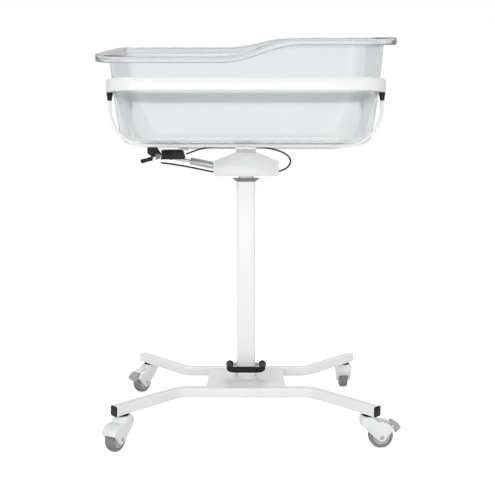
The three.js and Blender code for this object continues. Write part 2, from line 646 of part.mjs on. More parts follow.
function addTiltSpring() {
  const rise = CLEVIS_Z - SPRING_PIN_Z;
  const run = SPRING_PIN_X - CLEVIS_X;
  const long = Math.hypot(rise, run);
  const spring = new THREE.Group();
  spring.position.set(SPRING_PIN_X, 0, SPRING_PIN_Z);
  spring.rotation.y = Math.PI + Math.atan2(rise, run);
  bassinet.add(spring);
  const alongX = (profile, segments) => turned(profile, segments).rotateY(Math.PI / 2);

  const tube = alongX([
    [0, TILT_TUBE_START - 6], [TILT_TUBE_R - 2, TILT_TUBE_START - 6], [TILT_TUBE_R, TILT_TUBE_START],
    [TILT_TUBE_R, TILT_TUBE_END], [TILT_TUBE_BORE, TILT_TUBE_END], [TILT_TUBE_BORE, TILT_BORE_START],
    [0, TILT_BORE_START],
  ], 24);
  const pinEye = bar('y', TILT_EYE_R - 1, 2 * TILT_EYE_HALF_Y, [0, 0, 0]);
  const pinHole = bar('y', SPRING_PIN_R + SLIDE_PLAY, 6 * TILT_EYE_HALF_Y, [0, 0, 0], 16);
  piece('tilt_spring_cylinder', build([tube, pinEye], [pinHole]), steel(), spring);

  const rod = alongX([
    [0, TILT_ROD_START], [TILT_ROD_R, TILT_ROD_START], [TILT_ROD_R, TILT_SHANK_START],
    [TILT_SHANK_R, TILT_SHANK_START], [TILT_SHANK_R, long - TILT_EYE_BORE - 1], [0, long - TILT_EYE_BORE - 1],
  ], 16);
  const eye = bar('y', TILT_EYE_R, 2 * TILT_EYE_HALF_Y, [long, 0, 0]);
  const eyeHole = bar('y', TILT_EYE_BORE, 6 * TILT_EYE_HALF_Y, [long, 0, 0]);
  piece('tilt_spring_rod', build([rod, eye], [eyeHole]), steel(), spring);
}

// Height of the tub's rim: a step from the foot end to the head end, and a rise to the far side.
function rimHeight(x, y) {
  const step = THREE.MathUtils.smoothstep(x, RAMP_START, RAMP_END);
  const near = THREE.MathUtils.lerp(NEAR_RIM_LOW, NEAR_RIM_HIGH, step);
  const far = THREE.MathUtils.lerp(FAR_RIM_LOW, FAR_RIM_HIGH, step);
  return THREE.MathUtils.lerp(near, far, THREE.MathUtils.clamp((y / RIM_HALF_Y + 1) / 2, 0, 1));
}

// The tub's outer section at a height.
function tubSection(z) {
  const up = z - TUB_BOTTOM;
  const rounding = THREE.MathUtils.clamp(up / (RING_BOTTOM - TUB_BOTTOM), 0, 1);
  return {
    halfX: TUB_FLOOR_HALF_X + TUB_GROW_X * up,
    halfY: TUB_FLOOR_HALF_Y + TUB_GROW_Y * up,
    round: THREE.MathUtils.lerp(TUB_FLOOR_ROUND, TUB_RING_ROUND, rounding),
  };
}

// A section moved inwards by a distance.
function inset(section, distance) {
  const { halfX, halfY, round } = section;
  return { halfX: halfX - distance, halfY: halfY - distance, round: Math.max(round - distance, 5) };
}

// Places round a rounded rectangle: a share of a straight side or of a corner, the same on every section.
const SIDE_STEPS = { long: 20, short: 5, corner: 6 };
function stations() {
  const list = [];
  for (let quarter = 0; quarter < 4; quarter += 1) {
    const steps = quarter % 2 === 0 ? SIDE_STEPS.short : SIDE_STEPS.long;
    for (let i = 0; i < steps; i += 1) list.push({ quarter, along: (2 * i) / steps - 1, turn: null });
    for (let i = 0; i < SIDE_STEPS.corner; i += 1) list.push({ quarter, along: 1, turn: i / SIDE_STEPS.corner });
  }
  return list;
}

// A station's point on a section, from the +X side round towards +Y.
function stationPoint({ quarter, along, turn }, { halfX, halfY, round }) {
  const angle = (quarter + (turn ?? 0)) * (Math.PI / 2);
  const forward = new THREE.Vector2(0, 1).rotateAround(new THREE.Vector2(), quarter * (Math.PI / 2));
  const outward = new THREE.Vector2(1, 0).rotateAround(new THREE.Vector2(), quarter * (Math.PI / 2));
  const [deep, wide] = quarter % 2 === 0 ? [halfX, halfY] : [halfY, halfX];
  const centre = outward.multiplyScalar(deep - round).add(forward.multiplyScalar(along * (wide - round)));
  return centre.add(new THREE.Vector2(Math.cos(angle), Math.sin(angle)).multiplyScalar(round));
}

// The tub's wall at one station, as points from the middle of its floor's top, over the rim, to the underside.
function tubProfile(station) {
  const rim = { halfX: RIM_HALF_X, halfY: RIM_HALF_Y, round: RIM_ROUND };
  const rimSpot = stationPoint(station, rim);
  const top = rimHeight(rimSpot.x, rimSpot.y);
  const at = (section, z) => {
    const spot = stationPoint(station, section);
    return new THREE.Vector3(spot.x, spot.y, z);
  };
  const floorTop = TUB_BOTTOM + TUB_WALL;
  const innerFillet = TUB_FILLET - TUB_WALL;
  const fillet = (radius, base, wall) => [90, 60, 30, 0].map((degrees) => {
    const lift = radius * (1 - Math.sin(THREE.MathUtils.degToRad(degrees)));
    const pull = radius * (1 - Math.cos(THREE.MathUtils.degToRad(degrees)));
    return at(inset(tubSection(base + lift), wall + pull), base + lift);
  });
  const underRim = top - TUB_WALL;
  return [
    ...fillet(innerFillet, floorTop, TUB_WALL),
    at(inset(tubSection(top - RIM_EDGE), TUB_WALL), top - RIM_EDGE),
    at(inset(tubSection(top), TUB_WALL - RIM_EDGE * 0.6), top),
    at(inset(rim, RIM_EDGE), top),
    at(rim, top - RIM_EDGE),
    at(inset(rim, 1), top - RIM_LIP),
    at(inset(rim, 1 + TUB_WALL), top - RIM_LIP),
    at(inset(rim, TUB_WALL), underRim - 2),
    at(inset(tubSection(underRim), -0.5), underRim - 2),
    ...fillet(TUB_FILLET, TUB_BOTTOM, 0).reverse(),
  ];
}

function addTub() {
  const profiles = stations().map(tubProfile);
  const count = profiles.length;
  const rows = profiles[0].length;
  const positions = profiles.flat().flatMap((point) => point.toArray());
  const floorTop = positions.push(0, 0, TUB_BOTTOM + TUB_WALL) / 3 - 1;
  const floorLow = positions.push(0, 0, TUB_BOTTOM) / 3 - 1;
  const index = [];
  for (let i = 0; i < count; i += 1) {
    const here = i * rows;
    const next = ((i + 1) % count) * rows;
    index.push(floorTop, here, next);
    for (let row = 0; row < rows - 1; row += 1) {
      index.push(here + row, here + row + 1, next + row);
      index.push(next + row, here + row + 1, next + row + 1);
    }
    index.push(floorLow, next + rows - 1, here + rows - 1);
  }
  const geometry = new THREE.BufferGeometry();
  geometry.setAttribute('position', new THREE.Float32BufferAttribute(positions, 3));
  geometry.setIndex(index);
  geometry.computeVertexNormals();
  piece('tub', geometry, clear());
}

// A caster fork in its own frame: the swivel axis on Z, the wheel trailing along +X.
function fork() {
  const axleZ = WHEEL_R;
  const hoodR = WHEEL_R + 6;
  const side = new THREE.Shape();
  side.moveTo(-19, 62);
  side.lineTo(-10, 50);
  side.lineTo(CASTER_TRAIL - 10, axleZ - 7);
  side.absarc(CASTER_TRAIL, axleZ, 12, 1.2 * Math.PI, 1.8 * Math.PI, false);
  side.lineTo(CASTER_TRAIL + 24, axleZ + 12);
  side.absarc(CASTER_TRAIL, axleZ, hoodR, 0.15 * Math.PI, 0.56 * Math.PI, false);
  side.lineTo(12, FORK_TOP - 2);
  side.lineTo(-16, FORK_TOP - 2);
  side.closePath();
  const hood = plateAcross(side, -FORK_HALF, FORK_HALF, 3);
  const head = turned([
    [0, FORK_HEAD_LOW], [FORK_HEAD_R - 3, FORK_HEAD_LOW], [FORK_HEAD_R, FORK_HEAD_LOW + 8],
    [FORK_HEAD_R, FORK_TOP - 3], [FORK_HEAD_R - 3, FORK_TOP], [0, FORK_TOP],
  ], 24);
  const wheelRoom = bar('y', WHEEL_R + 2.5, 2 * FORK_SLOT, [CASTER_TRAIL, 0, axleZ], 28);
  const lowRoom = block([CASTER_TRAIL - 26, -FORK_SLOT, 0], [CASTER_TRAIL + 60, FORK_SLOT, axleZ + 12]);
  const stemRoom = bar('z', FORK_BORE, 60, [0, 0, FORK_TOP], 16);
  const axleRoom = bar('y', AXLE_PIN_R + GAP, 4 * FORK_HALF, [CASTER_TRAIL, 0, axleZ], 14);
  return build([hood, head], [wheelRoom, lowRoom, stemRoom, axleRoom]);
}

function wheel() {
  const half = WHEEL_HALF;
  return turnedRing([
    [WHEEL_BORE, -half], [10, -half], [11, -half + 2], [20, -half + 2], [WHEEL_R - 4, -half],
    [WHEEL_R, -half + 4], [WHEEL_R, half - 4], [WHEEL_R - 4, half], [20, half - 2], [11, half - 2],
    [10, half], [WHEEL_BORE, half],
  ], 24).rotateX(Math.PI / 2).translate(CASTER_TRAIL, 0, WHEEL_R);
}

// A brake pedal that lies over the hood and ends in a tail behind the wheel.
function brakePedal() {
  const [axleX, axleZ] = [CASTER_TRAIL, WHEEL_R];
  const side = new THREE.Shape();
  side.absarc(axleX, axleZ, BRAKE_LOW_R, 0.56 * Math.PI, 0.18 * Math.PI, true);
  side.lineTo(axleX + BRAKE_TAIL_X, axleZ + BRAKE_TAIL_Z);
  side.lineTo(axleX + BRAKE_TAIL_X + 2, axleZ + BRAKE_TAIL_Z + 4);
  side.absarc(axleX, axleZ, BRAKE_TOP_R, 0.2 * Math.PI, 0.56 * Math.PI, false);
  side.closePath();
  return plateAcross(side, -FORK_SLOT, FORK_SLOT);
}

function addCasters() {
  for (const { label, side, front, heading, brake } of CASTERS) {
    const caster = new THREE.Group();
    caster.position.set(
      side * (LEG_END_X - CASTER_INSET * Math.cos(LEG_ANGLE)),
      front * (LEG_END_Y - CASTER_INSET * Math.sin(LEG_ANGLE)),
      0,
    );
    caster.rotation.z = THREE.MathUtils.degToRad(heading);
    bassinet.add(caster);
    piece(`caster_stem_${label}`, turned([
      [0, STEM_LOW], [STEM_R, STEM_LOW], [STEM_R, FORK_TOP + GAP], [WASHER_R, FORK_TOP + GAP],
      [WASHER_R, BEAM_BOTTOM - GAP], [0, BEAM_BOTTOM - GAP],
    ], 20), black(), caster);
    piece(`caster_fork_${label}`, fork(), hoodGrey(), caster);
    const pinLong = 2 * (FORK_HALF - GAP);
    piece(`caster_axle_${label}`, bar('y', AXLE_PIN_R, pinLong, [CASTER_TRAIL, 0, WHEEL_R], 14), steel(), caster);
    piece(`caster_wheel_${label}`, wheel(), wheelGrey(), caster);
    if (brake) piece(`brake_pedal_${label}`, brakePedal(), brakeGrey(), caster);
  }
}

addBase();
addColumn();
addPedal();
addLift();
addCradle();
addTiltSpring();
addLever();
addTub();
addCasters();

export default bassinet;
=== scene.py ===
"""Looks of a hospital bassinet: finishes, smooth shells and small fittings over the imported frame.

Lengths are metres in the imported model's frame: +X is the head end, -Y the low access side, +Z up.
"""
import logging
import math
from collections.abc import Callable, Sequence
from dataclasses import dataclass
from enum import Enum

import bmesh
import bpy
from mathutils import Matrix, Vector


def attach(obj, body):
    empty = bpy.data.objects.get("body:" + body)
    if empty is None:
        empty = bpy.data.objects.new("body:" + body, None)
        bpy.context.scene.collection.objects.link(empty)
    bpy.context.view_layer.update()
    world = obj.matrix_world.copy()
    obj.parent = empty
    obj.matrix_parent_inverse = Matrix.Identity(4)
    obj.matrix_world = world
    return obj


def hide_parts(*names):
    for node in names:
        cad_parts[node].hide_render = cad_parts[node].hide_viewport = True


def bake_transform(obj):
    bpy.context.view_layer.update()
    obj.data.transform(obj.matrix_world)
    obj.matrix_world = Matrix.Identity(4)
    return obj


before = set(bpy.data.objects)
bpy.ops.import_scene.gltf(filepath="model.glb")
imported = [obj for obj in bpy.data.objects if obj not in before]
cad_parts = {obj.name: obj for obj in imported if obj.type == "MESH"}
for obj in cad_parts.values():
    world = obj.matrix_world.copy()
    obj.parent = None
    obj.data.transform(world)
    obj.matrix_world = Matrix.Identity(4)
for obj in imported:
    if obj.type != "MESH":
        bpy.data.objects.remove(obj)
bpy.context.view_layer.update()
LOG = logging.getLogger("bassinet")

Colour = tuple[float, float, float]
Point = tuple[float, float, float]
Pair = tuple[float, float]
Outline = list[Pair]
Skin = tuple[list, list]

QUARTER = math.pi / 2
WHITE = (1.0, 1.0, 1.0, 1.0)
# Angle of the legs from the beams, and how far their ends lie from the middle.
LEG_ANGLE = math.radians(46)
LEG_END = (0.315, 0.246)
# Play between pieces that fit into each other.
GAP = 0.0003
# Points of a mesh that lie closer than this are one point.
MERGE_DISTANCE = 1e-6
NODE_MERGE_DISTANCE = 1e-5
# In a copy of a CAD node, faces that turn less than the first are flat.
# Edges that turn more than the second are rounded.
FLAT_TURN = math.radians(0.5)
ROUNDED_TURN = math.radians(48)
ROUNDING_STEPS = 2
# Noise of the shared surface group: where a patch starts and is full, and how fine patches and grain are.
PATCH_RANGE = (0.38, 0.68)
PATCH_DETAIL = 4.0
GRAIN_DETAIL = 3.0
# Sockets of a Mix node for colours, by number because its sockets for numbers have the same names.
MIX_FIRST = 6
MIX_SECOND = 7
MIX_RESULT = 2


class Slot(Enum):
    """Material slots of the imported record."""

    WHITE = "white_paint"
    BLACK_PAINT = "black_paint"
    BLACK_PLASTIC = "black_plastic"
    STEEL = "steel"
    TUB = "clear_tub"
    HOOD = "hood_grey"
    BRAKE = "brake_grey"
    WHEEL = "wheel_rubber"


class SharpAngle(Enum):
    """Turn in degrees from which the edges of a piece are drawn sharp."""

    PLAIN = 35.0
    HOOD = 38.0
    MOULDED = 40.0
    TURNED = 50.0
    SWEPT = 60.0


class NodeWriter:
    """Adds nodes to a tree, one column to the right each time, and links their sockets."""

    column_width: int = 200

    def __init__(self, tree: bpy.types.NodeTree) -> None:
        """Keeps the tree.

        Args:
            tree: shader or geometry node tree to write into.
        """
        self.tree = tree
        self.column = 0

    def add(self, kind: str, **settings: object) -> bpy.types.Node:
        """Makes a node.

        Args:
            kind: node type name.
            settings: properties of the node to set.

        Returns:
            The new node.
        """
        node = self.tree.nodes.new(kind)
        node.location = (self.column * self.column_width, 0)
        self.column += 1
        for name, value in settings.items():
            setattr(node, name, value)
        return node

    def link(self, source: bpy.types.NodeSocket, target: bpy.types.NodeSocket) -> None:
        """Joins two sockets."""
        self.tree.links.new(source, target)


def tree_input(tree: bpy.types.NodeTree, name: str, kind: str) -> str:
    """Adds a named input to a node tree and gives its identifier."""
    return tree.interface.new_socket(name, in_out="INPUT", socket_type=kind).identifier


def make_surface_group() -> bpy.types.NodeTree:
    """Builds the shared group for soft colour patches, uneven gloss and fine grain.

    Returns:
        A shader node group with colour, roughness and height outputs.
    """
    group = bpy.data.node_groups.new("surface_variation", "ShaderNodeTree")
    colour, number, vector = "NodeSocketColor", "NodeSocketFloat", "NodeSocketVector"
    inputs = {
        "Colour": colour,
        "Patch Colour": colour,
        "Patch Scale": number,
        "Patch Amount": number,
        "Grain Scale": number,
        "Low Roughness": number,
        "High Roughness": number,
        "Stretch": vector,
    }
    for name, kind in inputs.items():
        tree_input(group, name, kind)
    for name, kind in {"Colour": colour, "Roughness": number, "Height": number}.items():
        group.interface.new_socket(name, in_out="OUTPUT", socket_type=kind)
    write = NodeWriter(group)
    given = write.add("NodeGroupInput")
    place = write.add("ShaderNodeTexCoord")
    stretch = write.add("ShaderNodeVectorMath", operation="MULTIPLY")
    write.link(place.outputs["Object"], stretch.inputs[0])
    write.link(given.outputs["Stretch"], stretch.inputs[1])
    patches = write.add("ShaderNodeTexNoise")
    patches.inputs["Detail"].default_value = PATCH_DETAIL
    write.link(place.outputs["Object"], patches.inputs["Vector"])
    write.link(given.outputs["Patch Scale"], patches.inputs["Scale"])
    contrast = write.add("ShaderNodeMapRange")
    contrast.inputs["From Min"].default_value = PATCH_RANGE[0]
    contrast.inputs["From Max"].default_value = PATCH_RANGE[1]
    write.link(patches.outputs["Fac"], contrast.inputs["Value"])
    amount = write.add("ShaderNodeMath", operation="MULTIPLY")
    write.link(contrast.outputs["Result"], amount.inputs[0])
    write.link(given.outputs["Patch Amount"], amount.inputs[1])
    mix = write.add("ShaderNodeMix", data_type="RGBA")
    write.link(amount.outputs[0], mix.inputs["Factor"])
    write.link(given.outputs["Colour"], mix.inputs[MIX_FIRST])
    write.link(given.outputs["Patch Colour"], mix.inputs[MIX_SECOND])
    grain = write.add("ShaderNodeTexNoise")
    grain.inputs["Detail"].default_value = GRAIN_DETAIL
    write.link(stretch.outputs["Vector"], grain.inputs["Vector"])
    write.link(given.outputs["Grain Scale"], grain.inputs["Scale"])
    gloss = write.add("ShaderNodeMapRange")
    write.link(grain.outputs["Fac"], gloss.inputs["Value"])
    write.link(given.outputs["Low Roughness"], gloss.inputs["To Min"])
    write.link(given.outputs["High Roughness"], gloss.inputs["To Max"])
    out = write.add("NodeGroupOutput")
    write.link(mix.outputs[MIX_RESULT], out.inputs["Colour"])
    write.link(gloss.outputs["Result"], out.inputs["Roughness"])
    write.link(grain.outputs["Fac"], out.inputs["Height"])
    return group


SURFACE_GROUP = make_surface_group()


@dataclass(frozen=True)
class Finish:
    """A surface finish: its colours, gloss and grain."""

    name: str
    colour: Colour
    patch: Colour
    roughness: Pair
    grain_scale: float
    grain_height: float
    patch_scale: float = 9.0
    patch_amount: float = 0.5
    stretch: Point = (1.0, 1.0, 1.0)
    metallic: float = 0.0
    coat: float = 0.0
    coat_roughness: float = 0.12
    transmission: float = 0.0
    ior: float = 1.5
    specular: float = 0.5

    def material(self) -> bpy.types.Material:
        """Makes the finish's material, once.

        Returns:
            The material, from the file where it was made before.
        """
        known = bpy.data.materials.get(self.name)
        if known is not None:
            return known
        material = bpy.data.materials.new(self.name)
        material.use_nodes = True
        tree = material.node_tree
        shader = tree.nodes["Principled BSDF"]
        write = NodeWriter(tree)
        surface = write.add("ShaderNodeGroup", node_tree=SURFACE_GROUP)
        pattern = {
            "Colour": (*self.colour, 1.0),
            "Patch Colour": (*self.patch, 1.0),
            "Patch Scale": self.patch_scale,
            "Patch Amount": self.patch_amount,
            "Grain Scale": self.grain_scale,
            "Low Roughness": self.roughness[0],
            "High Roughness": self.roughness[1],
            "Stretch": self.stretch,
        }
        for name, value in pattern.items():
            surface.inputs[name].default_value = value
        bump = write.add("ShaderNodeBump")
        bump.inputs["Strength"].default_value = 1.0
        bump.inputs["Distance"].default_value = self.grain_height
        write.link(surface.outputs["Height"], bump.inputs["Height"])
        write.link(surface.outputs["Colour"], shader.inputs["Base Color"])
        write.link(surface.outputs["Roughness"], shader.inputs["Roughness"])
        write.link(bump.outputs["Normal"], shader.inputs["Normal"])
        plain = {
            "Metallic": self.metallic,
            "Coat Weight": self.coat,
            "Coat Roughness": self.coat_roughness,
            "Transmission Weight": self.transmission,
            "IOR": self.ior,
            "Specular IOR Level": self.specular,
        }
        for name, value in plain.items():
            shader.inputs[name].default_value = value
        return material


WHITE_PAINT = Finish(
    name="white_powder_coat",
    colour=(0.86, 0.865, 0.865),
    patch=(0.83, 0.835, 0.84),
    roughness=(0.26, 0.40),
    grain_scale=900.0,
    grain_height=0.00003,
    coat=0.25,
)
BLACK_PLASTIC = Finish(
    name="black_moulded_plastic",
    colour=(0.005, 0.005, 0.006),
    patch=(0.009, 0.009, 0.010),
    roughness=(0.38, 0.55),
    grain_scale=1500.0,
    grain_height=0.00004,
    specular=0.22,
)
BLACK_PAINT = Finish(
    name="black_satin_paint",
    colour=(0.007, 0.007, 0.008),
    patch=(0.012, 0.012, 0.013),
    roughness=(0.34, 0.48),
    grain_scale=900.0,
    grain_height=0.00003,
    specular=0.25,
)
STEEL = Finish(
    name="bright_steel",
    colour=(0.40, 0.405, 0.415),
    patch=(0.30, 0.305, 0.315),
    roughness=(0.26, 0.42),
    grain_scale=700.0,
    grain_height=0.00001,
    stretch=(0.06, 1.0, 1.0),
    metallic=1.0,
)
CHROME = Finish(
    name="chrome_plate",
    colour=(0.52, 0.525, 0.535),
    patch=(0.44, 0.445, 0.46),
    roughness=(0.12, 0.22),
    grain_scale=300.0,
    grain_height=0.000005,
    metallic=1.0,
)
ZINC = Finish(
    name="dull_zinc_plate",
    colour=(0.15, 0.152, 0.156),
    patch=(0.11, 0.112, 0.116),
    roughness=(0.42, 0.58),
    grain_scale=600.0,
    grain_height=0.00002,
    metallic=1.0,
)
CLEAR_PLASTIC = Finish(
    name="clear_moulded_plastic",
    colour=(0.895, 0.912, 0.917),
    patch=(0.88, 0.90, 0.906),
    roughness=(0.10, 0.15),
    grain_scale=60.0,
    grain_height=0.00001,
    patch_scale=5.0,
    patch_amount=0.6,
    transmission=0.95,
    ior=1.38,
)
# Greyer copy of the clear finish: painted shade for the rim's rounded edges, where clear plastic looks darker
# by how it bends light.
CLEAR_PAINTED_EDGE_SHADE = Finish(
    name="clear_plastic_painted_edge_shade",
    colour=(0.62, 0.645, 0.655),
    patch=(0.58, 0.605, 0.615),
    roughness=(0.12, 0.18),
    grain_scale=60.0,
    grain_height=0.00001,
    patch_scale=5.0,
    patch_amount=0.6,
    transmission=0.9,
    ior=1.38,
)
HOOD_PLASTIC = Finish(
    name="light_grey_plastic",
    colour=(0.83, 0.84, 0.84),
    patch=(0.78, 0.79, 0.795),
    roughness=(0.30, 0.45),
    grain_scale=1500.0,
    grain_height=0.00003,
)
BRAKE_PLASTIC = Finish(
    name="mid_grey_plastic",
    colour=(0.40, 0.41, 0.415),
    patch=(0.35, 0.36, 0.365),
    roughness=(0.40, 0.55),
    grain_scale=1500.0,
    grain_height=0.00005,
)
COLLAR_PLASTIC = Finish(
    name="grey_guide_plastic",
    colour=(0.24, 0.245, 0.25),
    patch=(0.19, 0.195, 0.20),
    roughness=(0.40, 0.55),
    grain_scale=1500.0,
    grain_height=0.00004,
)
TYRE_RUBBER = Finish(
    name="grey_rubber",
    colour=(0.225, 0.229, 0.233),
    patch=(0.28, 0.282, 0.285),
    roughness=(0.62, 0.82),
    grain_scale=1200.0,
    grain_height=0.00008,
    patch_scale=40.0,
)
HUB_PLASTIC = Finish(
    name="pale_hub_plastic",
    colour=(0.66, 0.67, 0.67),
    patch=(0.60, 0.61, 0.61),
    roughness=(0.35, 0.50),
    grain_scale=1500.0,
    grain_height=0.00003,
)


def mesh_piece(
    name: str,
    points: Sequence[Point],
    faces: Sequence[Sequence[int]],
    finish: Finish,
    sharp: SharpAngle = SharpAngle.PLAIN,
) -> bpy.types.Object:
    """Makes a mesh object at the origin.

    Args:
        name: name of the piece.
        points: vertices, in metres.
        faces: vertex numbers of each face.
        finish: finish of the whole piece.
        sharp: turn from which its edges are drawn sharp.

    Returns:
        The new object.
    """
    mesh = bpy.data.meshes.new(name)
    mesh.from_pydata([tuple(point) for point in points], [], [tuple(face) for face in faces])
    return dressed(name, mesh, finish, sharp)


def dressed(
    name: str,
    mesh: bpy.types.Mesh,
    finish: Finish,
    sharp: SharpAngle = SharpAngle.PLAIN,
) -> bpy.types.Object:
    """Merges a mesh's doubles, turns its faces outwards and puts it in an object.

    Args:
        name: name of the piece.
        mesh: the mesh to dress.
        finish: finish of the whole piece.
        sharp: turn from which its edges are drawn sharp.

    Returns:
        The new object.
    """
    work = bmesh.new()
    work.from_mesh(mesh)
    bmesh.ops.remove_doubles(work, verts=work.verts, dist=MERGE_DISTANCE)
    bmesh.ops.recalc_face_normals(work, faces=work.faces)
    work.to_mesh(mesh)
    work.free()
    mesh.shade_smooth()
    mesh.set_sharp_from_angle(angle=math.radians(sharp.value))
    mesh.materials.clear()
    mesh.materials.append(finish.material())
    piece = bpy.data.objects.new(name, mesh)
    bpy.context.scene.collection.objects.link(piece)
    return piece


def settle(piece: bpy.types.Object, body: str, slot: Slot, *nodes: str) -> None:
    """Lets a finished piece ride on a body and stand for CAD nodes.

    Args:
        piece: the finished piece.
        body: name of the body that carries it.
        slot: material slot of the record. Not used.
        nodes: CAD nodes that the piece stands for.
    """
    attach(piece, body)
    if nodes:
        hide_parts(*nodes)
    LOG.info("%s rides on %s", piece.name, body)


def smooth_copy(
    node: str,
    finish: Finish,
    bevel: float = 0.0,
    sharp: SharpAngle = SharpAngle.PLAIN,
) -> bpy.types.Object:
    """Makes a smooth, edge-rounded copy of a CAD node.

    Args:
        node: name of the node.
        finish: finish of the copy.
        bevel: width of the rounding on its sharp edges, or 0 for none.
        sharp: turn from which its edges are drawn sharp.

    Returns:
        The copy.
    """
    work = bmesh.new()
    work.from_mesh(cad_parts[node].data)
    bmesh.ops.remove_doubles(work, verts=work.verts, dist=NODE_MERGE_DISTANCE)
    bmesh.ops.dissolve_limit(work, angle_limit=FLAT_TURN, verts=work.verts, edges=work.edges)
    if bevel > 0:
        solid_edges = [edge for edge in work.edges if edge.is_manifold]
        bmesh.ops.bevel(
            work,
            geom=[edge for edge in solid_edges if edge.calc_face_angle(0.0) > ROUNDED_TURN],
            offset=bevel,
            segments=ROUNDING_STEPS,
            profile=0.5,
            affect="EDGES",
            clamp_overlap=True,
        )
    points = [vertex.co.to_tuple() for vertex in work.verts]
    work.verts.index_update()
    faces = [[vertex.index for vertex in face.verts] for face in work.faces]
    work.free()
    return mesh_piece(f"{node}_shell", points, faces, finish, sharp)


def dress_node(
    node: str,
    finish: Finish,
    body: str,
    slot: Slot,
    bevel: float = 0.0,
    sharp: SharpAngle = SharpAngle.PLAIN,
) -> None:
    """Shows a CAD node as a smooth copy of itself.

    Args:
        node: name of the node.
        finish: finish of the copy.
        body: name of the body that carries it.
        slot: material slot of the record.
        bevel: width of the rounding on its sharp edges, or 0 for none.
        sharp: turn from which its edges are drawn sharp.
    """
    settle(smooth_copy(node, finish, bevel, sharp), body, slot, node)


def skin_of(mesh: bpy.types.Mesh) -> Skin:
    """Gives the points and the faces of a mesh."""
    points = [tuple(vertex.co) for vertex in mesh.vertices]
    return points, [tuple(face.vertices) for face in mesh.polygons]


def loft(rings: Sequence[Sequence[Point]], closed: bool = False) -> Skin:
    """Joins rings of points into a skin, and fills the end rings of one that is open.

    Args:
        rings: rings with the same number of points.
        closed: true where the last ring meets the first.

    Returns:
        The points and the faces.
    """
    count = len(rings[0])
    points = [point for ring in rings for point in ring]
    faces = []
    last = len(rings) if closed else len(rings) - 1
    for i in range(last):
        here = i * count
        there = ((i + 1) % len(rings)) * count
        for k in range(count):
            after = (k + 1) % count
            faces.append((here + k, here + after, there + after, there + k))
    if not closed:
        faces.append(tuple(range(count)))
        faces.append(tuple(range(len(points) - count, len(points))))
    return points, faces


def turned(profile: Outline, segments: int, place: Matrix) -> Skin:
    """Turns a closed profile of radius and height about the local Z axis.

    Args:
        profile: radius and height of each point; a radius of 0 is on the axis.
        segments: number of steps round.
        place: transform from the local frame to the part's frame.

    Returns:
        The points and the faces.
    """
    rings = []
    for i in range(segments):
        angle = 2 * math.pi * i / segments
        ring = [place @ Vector((r * math.cos(angle), r * math.sin(angle), z)) for r, z in profile]
        rings.append([tuple(point) for point in ring])
    return loft(rings, closed=True)


def both_sides(right: Outline) -> Outline:
    """Closes the profile of a turned piece with the same profile on its other side."""
    return right + [(radius, -height) for radius, height in reversed(right)]


def together(*parts: Skin) -> Skin:
    """Puts several sets of points and faces in one.

    Args:
        parts: the sets.

    Returns:
        All their points and faces.
    """
    points, faces = [], []
    for some_points, some_faces in parts:
        start = len(points)
        points.extend(some_points)
        faces.extend([tuple(index + start for index in face) for face in some_faces])
    return points, faces


def rounded_rect(half_x: float, half_y: float, rounding: float, steps: int) -> Outline:
    """Gives the outline of a rectangle with round corners.

    Args:
        half_x: half of its width.
        half_y: half of its depth.
        rounding: corner radius.
        steps: steps in each corner.

    Returns:
        Points from the +X side round towards +Y.
    """
    outline = []
    for corner, (sx, sy) in enumerate([(1, 1), (-1, 1), (-1, -1), (1, -1)]):
        for i in range(steps + 1):
            angle = (corner + i / steps) * QUARTER
            x = sx * (half_x - rounding) + rounding * math.cos(angle)
            y = sy * (half_y - rounding) + rounding * math.sin(angle)
            outline.append((x, y))
    return outline


def share_between(value: float, start: float, end: float) -> float:
    """Gives how far a value lies between two others, from 0 to 1."""
    return min(max((value - start) / (end - start), 0.0), 1.0)


def polar(centre: Pair, radius: float, degrees: float) -> Pair:
    """Gives the point at a distance and an angle from a centre."""
    angle = math.radians(degrees)
    return centre[0] + radius * math.cos(angle), centre[1] + radius * math.sin(angle)


def arc(centre: Pair, radius: float, start: float, end: float, steps: int) -> Outline:
    """Gives points on an arc, angles in degrees."""
    return [polar(centre, radius, start + (end - start) * i / steps) for i in range(steps + 1)]


def end_tree(write: NodeWriter, given: bpy.types.Node, shape: bpy.types.NodeSocket) -> None:
    """Ends a Geometry Nodes tree: makes its instances real and gives them the finish.

    Args:
        write: writer of the tree.
        given: the tree's input node.
        shape: socket with the shape that the tree made.
    """
    whole = write.add("GeometryNodeRealizeInstances")
    coat = write.add("GeometryNodeSetMaterial")
    out = write.add("NodeGroupOutput")
    write.link(shape, whole.inputs["Geometry"])
    write.link(whole.outputs["Geometry"], coat.inputs["Geometry"])
    write.link(given.outputs["Finish"], coat.inputs["Material"])
    write.link(coat.outputs["Geometry"], out.inputs[0])


